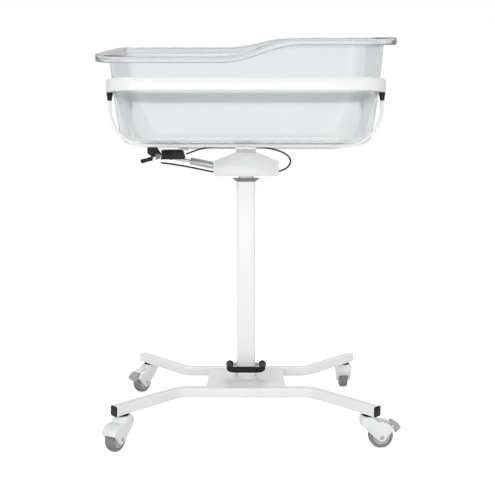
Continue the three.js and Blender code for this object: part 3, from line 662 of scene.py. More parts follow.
class TubeTree:
    """Geometry Nodes tree that sweeps a round section along a path."""

    def __init__(self) -> None:
        """Builds the tree."""
        self.tree = bpy.data.node_groups.new("round_bar_along_path", "GeometryNodeTree")
        tree_input(self.tree, "Path", "NodeSocketGeometry")
        self.radius = tree_input(self.tree, "Radius", "NodeSocketFloat")
        self.sides = tree_input(self.tree, "Sides", "NodeSocketInt")
        self.finish = tree_input(self.tree, "Finish", "NodeSocketMaterial")
        self.tree.interface.new_socket("Bar", in_out="OUTPUT", socket_type="NodeSocketGeometry")
        write = NodeWriter(self.tree)
        given = write.add("NodeGroupInput")
        curve = write.add("GeometryNodeMeshToCurve")
        section = write.add("GeometryNodeCurvePrimitiveCircle")
        sweep = write.add("GeometryNodeCurveToMesh")
        sweep.inputs["Fill Caps"].default_value = True
        write.link(given.outputs["Path"], curve.inputs["Mesh"])
        write.link(given.outputs["Radius"], section.inputs["Radius"])
        write.link(given.outputs["Sides"], section.inputs["Resolution"])
        write.link(curve.outputs["Curve"], sweep.inputs["Curve"])
        write.link(section.outputs["Curve"], sweep.inputs["Profile Curve"])
        end_tree(write, given, sweep.outputs["Mesh"])

    def bar(self, path: Sequence[Point], radius: float, sides: int, finish: Finish) -> bpy.types.Mesh:
        """Sweeps one bar.

        Args:
            path: points that the bar's middle follows.
            radius: radius of the bar.
            sides: number of sides of its section.
            finish: its finish.

        Returns:
            A plain mesh.
        """
        mesh = bpy.data.meshes.new("path")
        edges = [(i, i + 1) for i in range(len(path) - 1)]
        mesh.from_pydata([tuple(point) for point in path], edges, [])
        values = {self.radius: radius, self.sides: sides, self.finish: finish.material()}
        return run_tree(self.tree, mesh, values)


class RowTree:
    """Geometry Nodes tree that repeats a flat rib round an axis."""

    def __init__(self) -> None:
        """Builds the tree."""
        self.tree = bpy.data.node_groups.new("ribs_round_axis", "GeometryNodeTree")
        tree_input(self.tree, "Start", "NodeSocketGeometry")
        self.count = tree_input(self.tree, "Count", "NodeSocketInt")
        self.ring = tree_input(self.tree, "Ring Radius", "NodeSocketFloat")
        self.size = tree_input(self.tree, "Rib Size", "NodeSocketVector")
        self.finish = tree_input(self.tree, "Finish", "NodeSocketMaterial")
        self.tree.interface.new_socket("Ribs", in_out="OUTPUT", socket_type="NodeSocketGeometry")
        write = NodeWriter(self.tree)
        given = write.add("NodeGroupInput")
        ring = write.add("GeometryNodeMeshCircle")
        rib = write.add("GeometryNodeMeshCube")
        index = write.add("GeometryNodeInputIndex")
        share = write.add("ShaderNodeMath", operation="DIVIDE")
        turn = write.add("ShaderNodeMath", operation="MULTIPLY")
        turn.inputs[1].default_value = 2 * math.pi
        spin = write.add("ShaderNodeCombineXYZ")
        spread = write.add("GeometryNodeInstanceOnPoints")
        write.link(given.outputs["Count"], ring.inputs["Vertices"])
        write.link(given.outputs["Ring Radius"], ring.inputs["Radius"])
        write.link(given.outputs["Rib Size"], rib.inputs["Size"])
        write.link(index.outputs["Index"], share.inputs[0])
        write.link(given.outputs["Count"], share.inputs[1])
        write.link(share.outputs[0], turn.inputs[0])
        write.link(turn.outputs[0], spin.inputs["Z"])
        write.link(ring.outputs["Mesh"], spread.inputs["Points"])
        write.link(rib.outputs["Mesh"], spread.inputs["Instance"])
        write.link(spin.outputs["Vector"], spread.inputs["Rotation"])
        end_tree(write, given, spread.outputs["Instances"])

    def ribs(self, count: int, ring: float, size: Point, finish: Finish) -> bpy.types.Mesh:
        """Makes one ring of ribs about the Z axis.

        Args:
            count: number of ribs.
            ring: distance of their middles from the axis.
            size: size of a rib outwards, across and along the axis.
            finish: its finish.

        Returns:
            A plain mesh.
        """
        mesh = bpy.data.meshes.new("start")
        mesh.from_pydata([(0.0, 0.0, 0.0)], [], [])
        values = {self.count: count, self.ring: ring, self.size: size, self.finish: finish.material()}
        return run_tree(self.tree, mesh, values)


def run_tree(tree: bpy.types.NodeTree, start: bpy.types.Mesh, values: dict[str, object]) -> bpy.types.Mesh:
    """Runs a Geometry Nodes tree on a mesh and gives the result as a plain mesh.

    Args:
        tree: the tree.
        start: the mesh it starts from.
        values: input values by socket identifier.

    Returns:
        The plain mesh.
    """
    maker = bpy.data.objects.new("maker", start)
    bpy.context.scene.collection.objects.link(maker)
    modifier = maker.modifiers.new("tree", "NODES")
    modifier.node_group = tree
    for identifier, value in values.items():
        modifier[identifier] = value
    bpy.context.view_layer.update()
    graph = bpy.context.evaluated_depsgraph_get()
    made = bpy.data.meshes.new_from_object(maker.evaluated_get(graph))
    maker.modifiers.remove(modifier)
    bpy.data.objects.remove(maker)
    return made


TUBES = TubeTree()
RIBS = RowTree()


def smooth_path(points: Sequence[Point], steps: int) -> list[Point]:
    """Runs a smooth curve through points.

    Args:
        points: points on the curve.
        steps: steps between each two of them.

    Returns:
        Points along the curve, ends included.
    """
    spots = [Vector(point) for point in points]
    spots = [2 * spots[0] - spots[1], *spots, 2 * spots[-1] - spots[-2]]
    path = []
    for i in range(1, len(spots) - 2):
        before, here, there, after = spots[i - 1:i + 3]
        for k in range(steps):
            t = k / steps
            slope = there - before
            bow = 2 * before - 5 * here + 4 * there - after
            twist = 3 * here - before - 3 * there + after
            path.append(tuple(0.5 * (2 * here + slope * t + bow * t * t + twist * t ** 3)))
    path.append(tuple(spots[-2]))
    return path


@dataclass(frozen=True)
class Lamp:
    """A soft square lamp."""

    name: str
    place: Point
    size: float
    watts: float

    def hang(self, aim: Point) -> None:
        """Makes the lamp, hidden from the camera and from rays through the plastic.

        Args:
            aim: point that the lamp looks at.
        """
        data = bpy.data.lights.new(self.name, "AREA")
        data.size = self.size
        data.energy = self.watts
        lamp = bpy.data.objects.new(self.name, data)
        lamp.location = self.place
        lamp.visible_camera = False
        lamp.visible_transmission = False
        lamp.rotation_euler = (Vector(aim) - Vector(self.place)).to_track_quat("-Z", "Y").to_euler()
        bpy.context.scene.collection.objects.link(lamp)


@dataclass
class Studio:
    """Camera, floor and lights."""

    sensor_width: float = 36.0
    focal_pixels: float = 733.0
    image_pixels: float = 495.0
    centre_row: float = 200.0
    eye: Point = (0.0117, -1.9749, 0.6902)
    pitch: float = 2.966
    yaw: float = 0.231
    # Distances from the middle of the floor where the shadow fades, and how white the floor is at both.
    shadow_reach: Pair = (0.35, 0.80)
    floor_glow: Pair = (0.62, 1.0)
    # How white the surround is in gloss and through the plastic, and how much light it gives.
    gloss_white: float = 0.62
    through_white: float = 0.92
    surround_light: float = 0.50
    floor_half: float = 14.0
    floor_colour: tuple[float, ...] = (0.80, 0.80, 0.80, 1.0)
    lamp_aim: Point = (0.0, 0.0, 0.6)
    # Name, place, size and watts of each lamp.
    lamps: tuple[Lamp, ...] = (
        Lamp("key", (-1.9, -2.3, 2.9), 2.0, 34.0),
        Lamp("fill", (2.3, -1.9, 1.6), 3.0, 16.0),
        Lamp("top", (0.3, 1.2, 3.2), 2.0, 34.0),
        Lamp("front", (-0.2, -3.0, 0.35), 1.8, 30.0),
    )

    def camera(self) -> None:
        """Makes the camera."""
        data = bpy.data.cameras.new("camera")
        data.sensor_width = self.sensor_width
        data.lens = self.sensor_width * self.focal_pixels / self.image_pixels
        data.shift_y = (self.centre_row - self.image_pixels / 2) / self.image_pixels
        camera = bpy.data.objects.new("camera", data)
        camera.location = self.eye
        camera.rotation_euler = (math.radians(90 - self.pitch), 0.0, math.radians(self.yaw))
        bpy.context.scene.collection.objects.link(camera)
        bpy.context.scene.camera = camera

    def view_strength(self, write: NodeWriter) -> bpy.types.NodeSocket:
        """Gives how bright the surround is to a ray.

        It is white to the camera and a little darker in gloss and through the plastic.

        Args:
            write: writer of the tree that needs it.

        Returns:
            A socket with the strength, 0 for all other rays.
        """
        seen = write.add("ShaderNodeLightPath")
        gloss = write.add("ShaderNodeMath", operation="MULTIPLY")
        gloss.inputs[1].default_value = self.gloss_white
        through = write.add("ShaderNodeMath", operation="MULTIPLY")
        through.inputs[1].default_value = self.through_white
        either = write.add("ShaderNodeMath", operation="MAXIMUM")
        any_view = write.add("ShaderNodeMath", operation="MAXIMUM")
        write.link(seen.outputs["Is Glossy Ray"], gloss.inputs[0])
        write.link(seen.outputs["Is Transmission Ray"], through.inputs[0])
        write.link(gloss.outputs[0], either.inputs[0])
        write.link(through.outputs[0], either.inputs[1])
        write.link(either.outputs[0], any_view.inputs[0])
        write.link(seen.outputs["Is Camera Ray"], any_view.inputs[1])
        return any_view.outputs[0]

    def floor(self) -> None:
        """Lays a pale floor that stays white to the camera and keeps a soft shadow."""
        material = bpy.data.materials.new("pale_floor")
        material.use_nodes = True
        tree = material.node_tree
        tree.nodes.clear()
        write = NodeWriter(tree)
        seen = self.view_strength(write)
        matt = write.add("ShaderNodeBsdfDiffuse")
        matt.inputs["Color"].default_value = self.floor_colour
        glow = write.add("ShaderNodeEmission")
        glow.inputs["Color"].default_value = WHITE
        strength = write.add("ShaderNodeMath", operation="MULTIPLY")
        spot = write.add("ShaderNodeTexCoord")
        away = write.add("ShaderNodeVectorMath", operation="LENGTH")
        fade = write.add("ShaderNodeMapRange")
        fade.inputs["From Min"].default_value = self.shadow_reach[0]
        fade.inputs["From Max"].default_value = self.shadow_reach[1]
        fade.inputs["To Min"].default_value = self.floor_glow[0]
        fade.inputs["To Max"].default_value = self.floor_glow[1]
        both = write.add("ShaderNodeAddShader")
        out = write.add("ShaderNodeOutputMaterial")
        write.link(spot.outputs["Object"], away.inputs[0])
        write.link(away.outputs["Value"], fade.inputs["Value"])
        write.link(seen, strength.inputs[0])
        write.link(fade.outputs["Result"], strength.inputs[1])
        write.link(strength.outputs[0], glow.inputs["Strength"])
        write.link(matt.outputs["BSDF"], both.inputs[0])
        write.link(glow.outputs["Emission"], both.inputs[1])
        write.link(both.outputs["Shader"], out.inputs["Surface"])
        half = self.floor_half
        corners = [(-half, -half, 0), (half, -half, 0), (half, half, 0), (-half, half, 0)]
        mesh = bpy.data.meshes.new("floor")
        mesh.from_pydata(corners, [], [(0, 1, 2, 3)])
        mesh.materials.append(material)
        floor = bpy.data.objects.new("floor", mesh)
        bpy.context.scene.collection.objects.link(floor)

    def lights(self) -> None:
        """Sets a white surround and hangs the lamps."""
        world = bpy.data.worlds.new("surround")
        bpy.context.scene.world = world
        world.use_nodes = True
        tree = world.node_tree
        tree.nodes.clear()
        write = NodeWriter(tree)
        seen = self.view_strength(write)
        strength = write.add("ShaderNodeMath", operation="MAXIMUM")
        strength.inputs[1].default_value = self.surround_light
        back = write.add("ShaderNodeBackground")
        back.inputs["Color"].default_value = WHITE
        out = write.add("ShaderNodeOutputWorld")
        write.link(seen, strength.inputs[0])
        write.link(strength.outputs[0], back.inputs["Strength"])
        write.link(back.outputs["Background"], out.inputs["Surface"])
        for lamp in self.lamps:
            lamp.hang(self.lamp_aim)

    def build(self) -> None:
        """Sets up the whole studio."""
        bpy.context.scene.view_settings.view_transform = "Standard"
        self.camera()
        self.floor()
        self.lights()


@dataclass
class BaseStand:
    """The two bent beams, the plate between them and the leg caps."""

    tube: float = 0.025
    wall: float = 0.002
    edge: float = 0.004
    bottom: float = 0.081
    beam_y: float = 0.097
    bend: float = 0.048
    bend_steps: int = 14
    edge_steps: int = 6
    plate_edge: float = 0.0008

    def beam_path(self) -> list[tuple[Vector, float]]:
        """Gives the front beam's middle line.

        Returns:
            Points with the direction of the line there, in radians from +X.
        """
        end_x, end_y = LEG_END
        sine, cosine = math.sin(LEG_ANGLE), math.cos(LEG_ANGLE)
        leg = (end_y - self.beam_y - self.bend * (1 - cosine)) / sine
        bend_x = end_x - self.bend * sine - leg * cosine
        middle = self.bottom + self.tube / 2
        right = [(Vector((0.0, -self.beam_y, middle)), 0.0)]
        for i in range(self.bend_steps + 1):
            turn = LEG_ANGLE * i / self.bend_steps
            x = bend_x + self.bend * math.sin(turn)
            y = -self.beam_y - self.bend * (1 - math.cos(turn))
            right.append((Vector((x, y, middle)), -turn))
        right.append((Vector((end_x, -end_y, middle)), -LEG_ANGLE))
        left = [(Vector((-spot.x, spot.y, spot.z)), -turn) for spot, turn in right[:0:-1]]
        return left + right

    def beam(self, name: str, side: float) -> bpy.types.Object:
        """Sweeps one hollow beam.

        Args:
            name: name of the piece.
            side: -1 for the front beam, 1 for the rear one.

        Returns:
            The piece.
        """
        turn_round = Matrix.Rotation(0.0 if side < 0 else math.pi, 3, "Z")
        half = self.tube / 2
        outside = rounded_rect(half, half, self.edge, self.edge_steps)
        bore = half - self.wall
        inside = rounded_rect(bore, bore, self.edge - self.wall, self.edge_steps)
        walls = []
        for section in (outside, inside):
            rings = []
            for spot, turn in self.beam_path():
                across = Vector((-math.sin(turn), math.cos(turn), 0.0))
                ring = [turn_round @ (spot + across * a + Vector((0.0, 0.0, b))) for a, b in section]
                rings.append([tuple(point) for point in ring])
            walls.append(rings)
        skin = loft(walls[0] + walls[1][::-1], closed=True)
        return mesh_piece(name, *skin, WHITE_PAINT, SharpAngle.TURNED)

    def build(self) -> None:
        """Builds and dresses the base."""
        settle(self.beam("front_beam_shell", -1.0), "base", Slot.WHITE, "front_beam")
        settle(self.beam("rear_beam_shell", 1.0), "base", Slot.WHITE, "rear_beam")
        dress_node("base_plate", WHITE_PAINT, "base", Slot.WHITE, self.plate_edge)
        for corner in ("front_left", "front_right", "rear_left", "rear_right"):
            dress_node(f"leg_cap_{corner}", BLACK_PLASTIC, "base", Slot.BLACK_PLASTIC)


@dataclass
class Column:
    """The column, its collar and foot, and the lift parts inside it."""

    foot_edge: float = 0.0025
    collar_edge: float = 0.0012
    seat_edge: float = 0.0005

    def build(self) -> None:
        """Builds and dresses the column."""
        dress_node("column_foot_ring", WHITE_PAINT, "base", Slot.WHITE, self.foot_edge)
        dress_node("column_tube", WHITE_PAINT, "base", Slot.WHITE)
        dress_node("guide_collar", COLLAR_PLASTIC, "base", Slot.BRAKE, self.collar_edge)
        dress_node("spring_seat", STEEL, "base", Slot.STEEL, self.seat_edge)
        dress_node("lift_spring_cylinder", BLACK_PAINT, "base", Slot.BLACK_PAINT)
        dress_node("inner_column", STEEL, "lift", Slot.STEEL)
        dress_node("inner_glide", BLACK_PLASTIC, "lift", Slot.BLACK_PLASTIC)
        dress_node("lift_spring_rod", CHROME, "lift", Slot.STEEL)


@dataclass
class FootPedal:
    """The U-shaped pedal and its shaft."""

    # Y and Z of the shaft's middle line.
    pivot: Pair = (-0.012, 0.143)
    half_x: float = 0.044
    reach: float = 0.054
    tube: float = 0.008
    bend: float = 0.016
    knob: float = 0.0105
    bend_steps: int = 10
    sides: int = 24
    knob_steps: int = 16
    knob_sides: int = 28
    shaft_edge: float = 0.0004

    def path(self) -> list[Point]:
        """Gives the middle line of the pedal's bar.

        Returns:
            Its points, from one end of the shaft to the other.
        """
        y, z = self.pivot
        middle_x, middle_y = self.half_x - self.bend, y - self.reach + self.bend
        left = arc((-middle_x, middle_y), self.bend, 180, 270, self.bend_steps)
        right = arc((middle_x, middle_y), self.bend, 270, 360, self.bend_steps)
        return [(a, b, z) for a, b in [(-self.half_x, y), *left, *right, (self.half_x, y)]]

    def build(self) -> None:
        """Builds and dresses the pedal."""
        y, z = self.pivot
        bar = TUBES.bar(self.path(), self.tube, self.sides, BLACK_PLASTIC)
        half_ball = arc((0.0, 0.0), self.knob, -90, 90, self.knob_steps)
        ball = [(max(radius, 0.0), height) for radius, height in half_ball]
        knobs = []
        for x in (-self.half_x, self.half_x):
            knobs.append(turned(ball, self.knob_sides, Matrix.Translation((x, y, z))))
        skin = together(skin_of(bar), *knobs)
        pedal = mesh_piece("pedal_bar_shell", *skin, BLACK_PLASTIC, SharpAngle.TURNED)
        settle(pedal, "pedal", Slot.BLACK_PLASTIC, "pedal_bar")
        dress_node("pedal_shaft", STEEL, "pedal", Slot.STEEL, self.shaft_edge)
        dress_node("valve_pin", STEEL, "valve", Slot.STEEL)


@dataclass
class TiltHead:
    """The white house-shaped bracket with its axle and pin."""

    plate_edge: float = 0.0012
    pin_edge: float = 0.0005

    def build(self) -> None:
        """Builds and dresses the head."""
        dress_node("tilt_head", WHITE_PAINT, "lift", Slot.WHITE, self.plate_edge)
        dress_node("tilt_axle", STEEL, "lift", Slot.STEEL, self.pin_edge)
        dress_node("spring_pivot_pin", STEEL, "lift", Slot.STEEL, self.pin_edge)


@dataclass
class Cradle:
    """The ring, its hanging rods and the brackets under them."""

    ring_half: Pair = (0.350, 0.196)
    ring_round: float = 0.074
    ring_thick: float = 0.007
    ring_bottom: float = 0.863
    ring_high: float = 0.032
    ring_edge: float = 0.0025
    rod_radius: float = 0.004
    rod_x: float = 0.3395
    rod_y: float = 0.138
    rod_z: float = 0.731
    rod_bend: float = 0.092
    socket_high: float = 0.020
    # Radius and depth under the ring of the points of a socket's outside.
    socket_profile: tuple[Pair, ...] = (
        (0.0051, 0.020), (0.0056, 0.019), (0.0064, 0.011), (0.0077, 0.004), (0.0080, 0.001), (0.0076, 0.0),
    )
    # Radius and height of the points of the near rod's cap, and how deep it sits in the rod.
    cap_profile: tuple[Pair, ...] = (
        (0.0, 0.0), (0.0046, 0.0), (0.0046, 0.0012), (0.0032, 0.0028), (0.0, 0.0033),
    )
    cap_depth: float = 0.0012
    edge_steps: int = 4
    ring_steps: int = 24
    bend_steps: int = 24
    rod_sides: int = 24
    socket_sides: int = 28
    cap_sides: int = 24
    white_edge: float = 0.0008
    bracket_edge: float = 0.0007
    pin_edge: float = 0.0004

    def ring(self) -> bpy.types.Object:
        """Sweeps the flat bar round the tub.

        Returns:
            The piece.
        """
        half_x, half_y = self.ring_half
        section = rounded_rect(self.ring_thick / 2, self.ring_high / 2, self.ring_edge, self.edge_steps)
        rings = []
        for a, b in section:
            inset = self.ring_thick / 2 - a
            rounding = self.ring_round - inset
            outline = rounded_rect(half_x - inset, half_y - inset, rounding, self.ring_steps)
            z = self.ring_bottom + self.ring_high / 2 + b
            rings.append([(x, y, z) for x, y in outline])
        return mesh_piece("ring_frame_shell", *loft(rings, closed=True), WHITE_PAINT, SharpAngle.SWEPT)

    def rod(self, name: str, y: float) -> bpy.types.Object:
        """Sweeps one hanging rod.

        Args:
            name: name of the piece.
            y: its place across the cradle.

        Returns:
            The piece.
        """
        top = self.ring_bottom - GAP
        middle = self.rod_x - self.rod_bend
        high = self.rod_z + self.rod_bend
        left = arc((-middle, high), self.rod_bend, 180, 270, self.bend_steps)
        right = arc((middle, high), self.rod_bend, 270, 360, self.bend_steps)
        path = [(x, y, z) for x, z in [(-self.rod_x, top), *left, *right, (self.rod_x, top)]]
        bar = TUBES.bar(path, self.rod_radius, self.rod_sides, WHITE_PAINT)
        return dressed(name, bar, WHITE_PAINT, SharpAngle.SWEPT)

    def sockets(self) -> bpy.types.Object:
        """Turns the four tapered sockets.

        Returns:
            One piece with all four.
        """
        bore = self.rod_radius + GAP
        outside = [(radius, -depth) for radius, depth in self.socket_profile]
        profile = [(bore, -self.socket_high), *outside, (bore, 0.0)]
        turns = []
        for sx in (-1, 1):
            for sy in (-1, 1):
                place = Matrix.Translation((sx * self.rod_x, sy * self.rod_y, self.ring_bottom - GAP))
                turns.append(turned(profile, self.socket_sides, place))
        return mesh_piece("rod_sockets", *together(*turns), BLACK_PLASTIC, SharpAngle.MOULDED)

    def rod_cap(self) -> bpy.types.Object:
        """Makes the small white cap on the near rod, over the cross plate.

        Returns:
            The piece.
        """
        place = Matrix.Translation((0.0, -self.rod_y - self.rod_radius + self.cap_depth, self.rod_z))
        skin = turned(list(self.cap_profile), self.cap_sides, place @ Matrix.Rotation(QUARTER, 4, "X"))
        return mesh_piece("near_rod_cap", *skin, WHITE_PAINT, SharpAngle.TURNED)

    def build(self) -> None:
        """Builds and dresses the cradle."""
        settle(self.ring(), "cradle", Slot.WHITE, "ring_frame")
        settle(self.rod("near_rod_shell", -self.rod_y), "cradle", Slot.WHITE, "near_rod")
        settle(self.rod("far_rod_shell", self.rod_y), "cradle", Slot.WHITE, "far_rod")
        nodes = [f"rod_socket_{i}" for i in (1, 2, 3, 4)]
        settle(self.sockets(), "cradle", Slot.BLACK_PLASTIC, *nodes)
        settle(self.rod_cap(), "cradle", Slot.WHITE)
        for node in ("cross_plate", "pivot_saddle", "foot_cross_bar"):
            dress_node(node, WHITE_PAINT, "cradle", Slot.WHITE, self.white_edge)
        for node in ("spring_clevis", "lever_bracket"):
            dress_node(node, BLACK_PAINT, "cradle", Slot.BLACK_PAINT, self.bracket_edge)
        dress_node("clevis_pin", STEEL, "cradle", Slot.STEEL, self.pin_edge)


@dataclass
class TiltSpring:
    """The gas spring that holds the tilt."""

    cylinder_edge: float = 0.0005
    rod_edge: float = 0.0004

    def build(self) -> None:
        """Builds and dresses the gas spring."""
        dress_node("tilt_spring_cylinder", STEEL, "spring_body", Slot.STEEL, self.cylinder_edge)
        dress_node("tilt_spring_rod", CHROME, "spring_rod", Slot.STEEL, self.rod_edge)


@dataclass
class ReleaseLever:
    """The hand lever that frees the tilt, with its bolt."""

    pivot: Point = (-0.218, -0.151, 0.703)
    # Radius and height of the points of the bolt's head.
    bolt_profile: tuple[Pair, ...] = (
        (0.0, -0.0004), (0.0066, -0.0004), (0.0066, 0.0024), (0.0055, 0.0036), (0.0, 0.0040),
    )
    bolt_sides: int = 24
    arm_edge: float = 0.0006

    def bolt(self) -> bpy.types.Object:
        """Makes the bolt head on the lever's pin.

        Returns:
            The piece.
        """
        place = Matrix.Translation(self.pivot) @ Matrix.Rotation(QUARTER, 4, "X")
        skin = turned(list(self.bolt_profile), self.bolt_sides, place)
        return mesh_piece("lever_bolt", *skin, ZINC, SharpAngle.MOULDED)

    def build(self) -> None:
        """Builds and dresses the lever."""
        dress_node("lever_arm", CHROME, "lever", Slot.STEEL, self.arm_edge)
        dress_node("lever_grip", BLACK_PLASTIC, "lever", Slot.BLACK_PLASTIC)
        settle(self.bolt(), "cradle", Slot.STEEL)


@dataclass
class ReleaseCable:
    """The lever's cable: down into the head, out again in a loop and back to the gas spring."""

    radius: float = 0.0022
    sides: int = 14
    path_steps: int = 8
    # Points of each length's middle line, from the lever to the head and from the head to the gas spring.
    run: tuple[Point, ...] = (
        (-0.2105, -0.144, 0.688),
        (-0.196, -0.136, 0.6865),
        (-0.172, -0.116, 0.6825),
        (-0.142, -0.086, 0.6765),
        (-0.112, -0.050, 0.6695),
        (-0.090, -0.030, 0.6645),
        (-0.066, -0.023, 0.6618),
        (-0.034, -0.022, 0.6615),
        (-0.0002, -0.022, 0.6615),
    )
    loop: tuple[Point, ...] = (
        (0.0002, -0.022, 0.6615),
        (0.036, -0.022, 0.6615),
        (0.070, -0.022, 0.6625),
        (0.092, -0.021, 0.667),
        (0.108, -0.018, 0.6745),
        (0.117, -0.013, 0.685),
        (0.1185, -0.008, 0.697),
        (0.110, -0.001, 0.709),
        (0.092, 0.007, 0.719),
        (0.066, 0.014, 0.7265),
        (0.034, 0.019, 0.7306),
        (0.0, 0.020, 0.731),
        (-0.040, 0.020, 0.731),
        (-0.084, 0.018, 0.7306),
        (-0.118, 0.013, 0.7268),
        (-0.144, 0.008, 0.7185),
        (-0.162, 0.005, 0.7115),
    )
    # Between these two points a length goes over from one body to the other.
    run_bend: tuple[Point, Point] = ((-0.2105, -0.144, 0.688), (-0.090, -0.030, 0.6645))
    loop_bend: tuple[Point, Point] = ((0.117, -0.013, 0.669), (0.117, -0.013, 0.722))

    def length(self, name: str, points: Sequence[Point]) -> bpy.types.Object:
        """Sweeps one length of the cable.

        Args:
            name: name of the piece.
            points: points that its middle line goes through.

        Returns:
            The piece.
        """
        path = smooth_path(points, self.path_steps)
        bar = TUBES.bar(path, self.radius, self.sides, BLACK_PLASTIC)
        return dressed(name, bar, BLACK_PLASTIC, SharpAngle.SWEPT)

    def build(self) -> None:
        """Builds the cable's two lengths in place of the CAD ones."""
        run = self.length("release_cable_run_shell", self.run)
        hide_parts("release_cable_run")
        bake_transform(run)
        loop = self.length("release_cable_loop_shell", self.loop)
        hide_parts("release_cable_loop")
        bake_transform(loop)
        for piece in (run, loop):
            LOG.info("%s bends between cradle and lift", piece.name)


@dataclass
class Tub:
    """The clear tub: a thin wall that grows upwards, with a stepped rim and a hanging lip."""

    bottom: float = 0.7353
    wall: float = 0.004
    fillet: float = 0.025
    floor_half: Pair = (0.325, 0.168)
    floor_round: float = 0.124
    # How far the walls lean out along X and Y for each metre of height.
    grow: Pair = (0.072, 0.105)
    ring_level: float = 0.863
    ring_round: float = 0.066
    rim_half: Pair = (0.375, 0.208)
    rim_round: float = 0.078
    least_round: float = 0.005
    lip: float = 0.019
    # Height of the rim at the foot end and at the head end, on both long sides, and where it rises along X.
    near_rim: Pair = (0.946, 0.988)
    far_rim: Pair = (1.029, 1.056)
    ramp: Pair = (-0.055, 0.130)
    long_steps: int = 64
    short_steps: int = 20
    corner_steps: int = 16
    fillet_degrees: tuple[int, ...] = tuple(range(90, -1, -9))
    rim_degrees: tuple[int, ...] = (0, 22, 45, 68, 90)
    wall_rows: int = 8
    # How far under the rim's top the inner wall stops, and how far under its underside the outer wall starts.
    inner_stop: float = 0.010
    outer_stop: float = 0.006
    # Height and width of the inner rounding of the rim, and radius of its outer rounding.
    rim_rise: float = 0.008
    rim_flare: float = 0.007
    rim_curve: float = 0.005
    # Inset and height over the lip's lowest line, then inset and depth under the rim's underside.
    lip_outside: tuple[Pair, ...] = ((0.0006, 0.0025), (0.0014, 0.0007), (0.0026, 0.0), (0.0040, 0.0009))
    lip_inside: tuple[Pair, ...] = ((0.0043, 0.004), (0.0058, 0.001), (0.0085, 0.0))
    # Rows of faces, from one up to another, on the rim's rounded edges, which get a greyer copy of the clear
    # finish as painted shade.
    painted_shade_rows: tuple[tuple[int, int], ...] = ((20, 23), (25, 28), (29, 32))

    def rim_height(self, x: float, y: float) -> float:
        """Gives the height of the rim over a point of its outline.

        Args:
            x: the point along the tub.
            y: the point across the tub.

        Returns:
            The height of the rim's top.
        """
        share = share_between(x, *self.ramp)
        step = share * share * (3 - 2 * share)
        near = self.near_rim[0] + (self.near_rim[1] - self.near_rim[0]) * step
        far = self.far_rim[0] + (self.far_rim[1] - self.far_rim[0]) * step
        across = share_between(y, -self.rim_half[1], self.rim_half[1])
        return near + (far - near) * across

    def section(self, z: float, inset: float) -> Point:
        """Gives the half sizes and corner radius of the tub at a height, moved in by a distance.

        Args:
            z: the height.
            inset: the distance.

        Returns:
            Half the length, half the width and the corner radius.
        """
        up = z - self.bottom
        share = share_between(z, self.bottom, self.ring_level)
        rounding = self.floor_round + (self.ring_round - self.floor_round) * share
        half_x = self.floor_half[0] + self.grow[0] * up - inset
        half_y = self.floor_half[1] + self.grow[1] * up - inset
        return half_x, half_y, max(rounding - inset, self.least_round)

    def rim(self, inset: float) -> Point:
        """Gives the half sizes and corner radius of the rim's outline, moved in by a distance."""
        return self.rim_half[0] - inset, self.rim_half[1] - inset, self.rim_round - inset

    def stations(self) -> list[tuple[int, float, float]]:
        """Lists places round the tub.

        Returns:
            The side's number, the share along its straight part and the share of its corner.
        """
        places = []
        for side in range(4):
            steps = self.short_steps if side % 2 == 0 else self.long_steps
            places += [(side, 2 * i / steps - 1, 0.0) for i in range(steps)]
            places += [(side, 1.0, i / self.corner_steps) for i in range(self.corner_steps)]
        return places

    @staticmethod
    def spot(place: tuple[int, float, float], sizes: Point) -> Pair:
        """Gives a station's point on a rounded rectangle.

        Args:
            place: the station.
            sizes: half the length, half the width and the corner radius.

        Returns:
            The point along and across the tub.
        """
        side, along, turn = place
        half_x, half_y, rounding = sizes
        deep, wide = (half_x, half_y) if side % 2 == 0 else (half_y, half_x)
        base = side * QUARTER
        angle = base + turn * QUARTER
        out = deep - rounding
        on = along * (wide - rounding)
        x = out * math.cos(base) - on * math.sin(base) + rounding * math.cos(angle)
        y = out * math.sin(base) + on * math.cos(base) + rounding * math.sin(angle)
        return x, y

    def profile(self, place: tuple[int, float, float]) -> list[Point]:
        """Gives the wall at one station.

        Args:
            place: the station.

        Returns:
            Points from the floor's top, up the inside, over the lip and down the outside.
        """
        top = self.rim_height(*self.spot(place, self.rim(0.0)))
        under = top - self.wall
        low = self.bottom + self.fillet
        points: list[Point] = []

        def add(sizes: Point, z: float) -> None:
            """Adds a point of a section."""
            points.append((*self.spot(place, sizes), z))

        def corner(radius: float, base: float, wall: float, angles: Sequence[float]) -> None:
            """Adds the rounding between floor and wall.

            Args:
                radius: radius of the rounding.
                base: height of the floor that it starts on.
                wall: inset of the wall that it goes over to.
                angles: its steps in degrees, 90 on the floor and 0 on the wall.
            """
            for degrees in angles:
                lift = radius * (1 - math.sin(math.radians(degrees)))
                pull = radius * (1 - math.cos(math.radians(degrees)))
                add(self.section(base + lift, wall + pull), base + lift)

        def upright(start: float, end: float, inset: float) -> None:
            """Adds the rows of a wall after its start.

            Args:
                start: height that the rows are counted from, with no row of its own.
                end: height of the last row.
                inset: inset of the wall.
            """
            for i in range(1, self.wall_rows + 1):
                z = start + (end - start) * i / self.wall_rows
                add(self.section(z, inset), z)

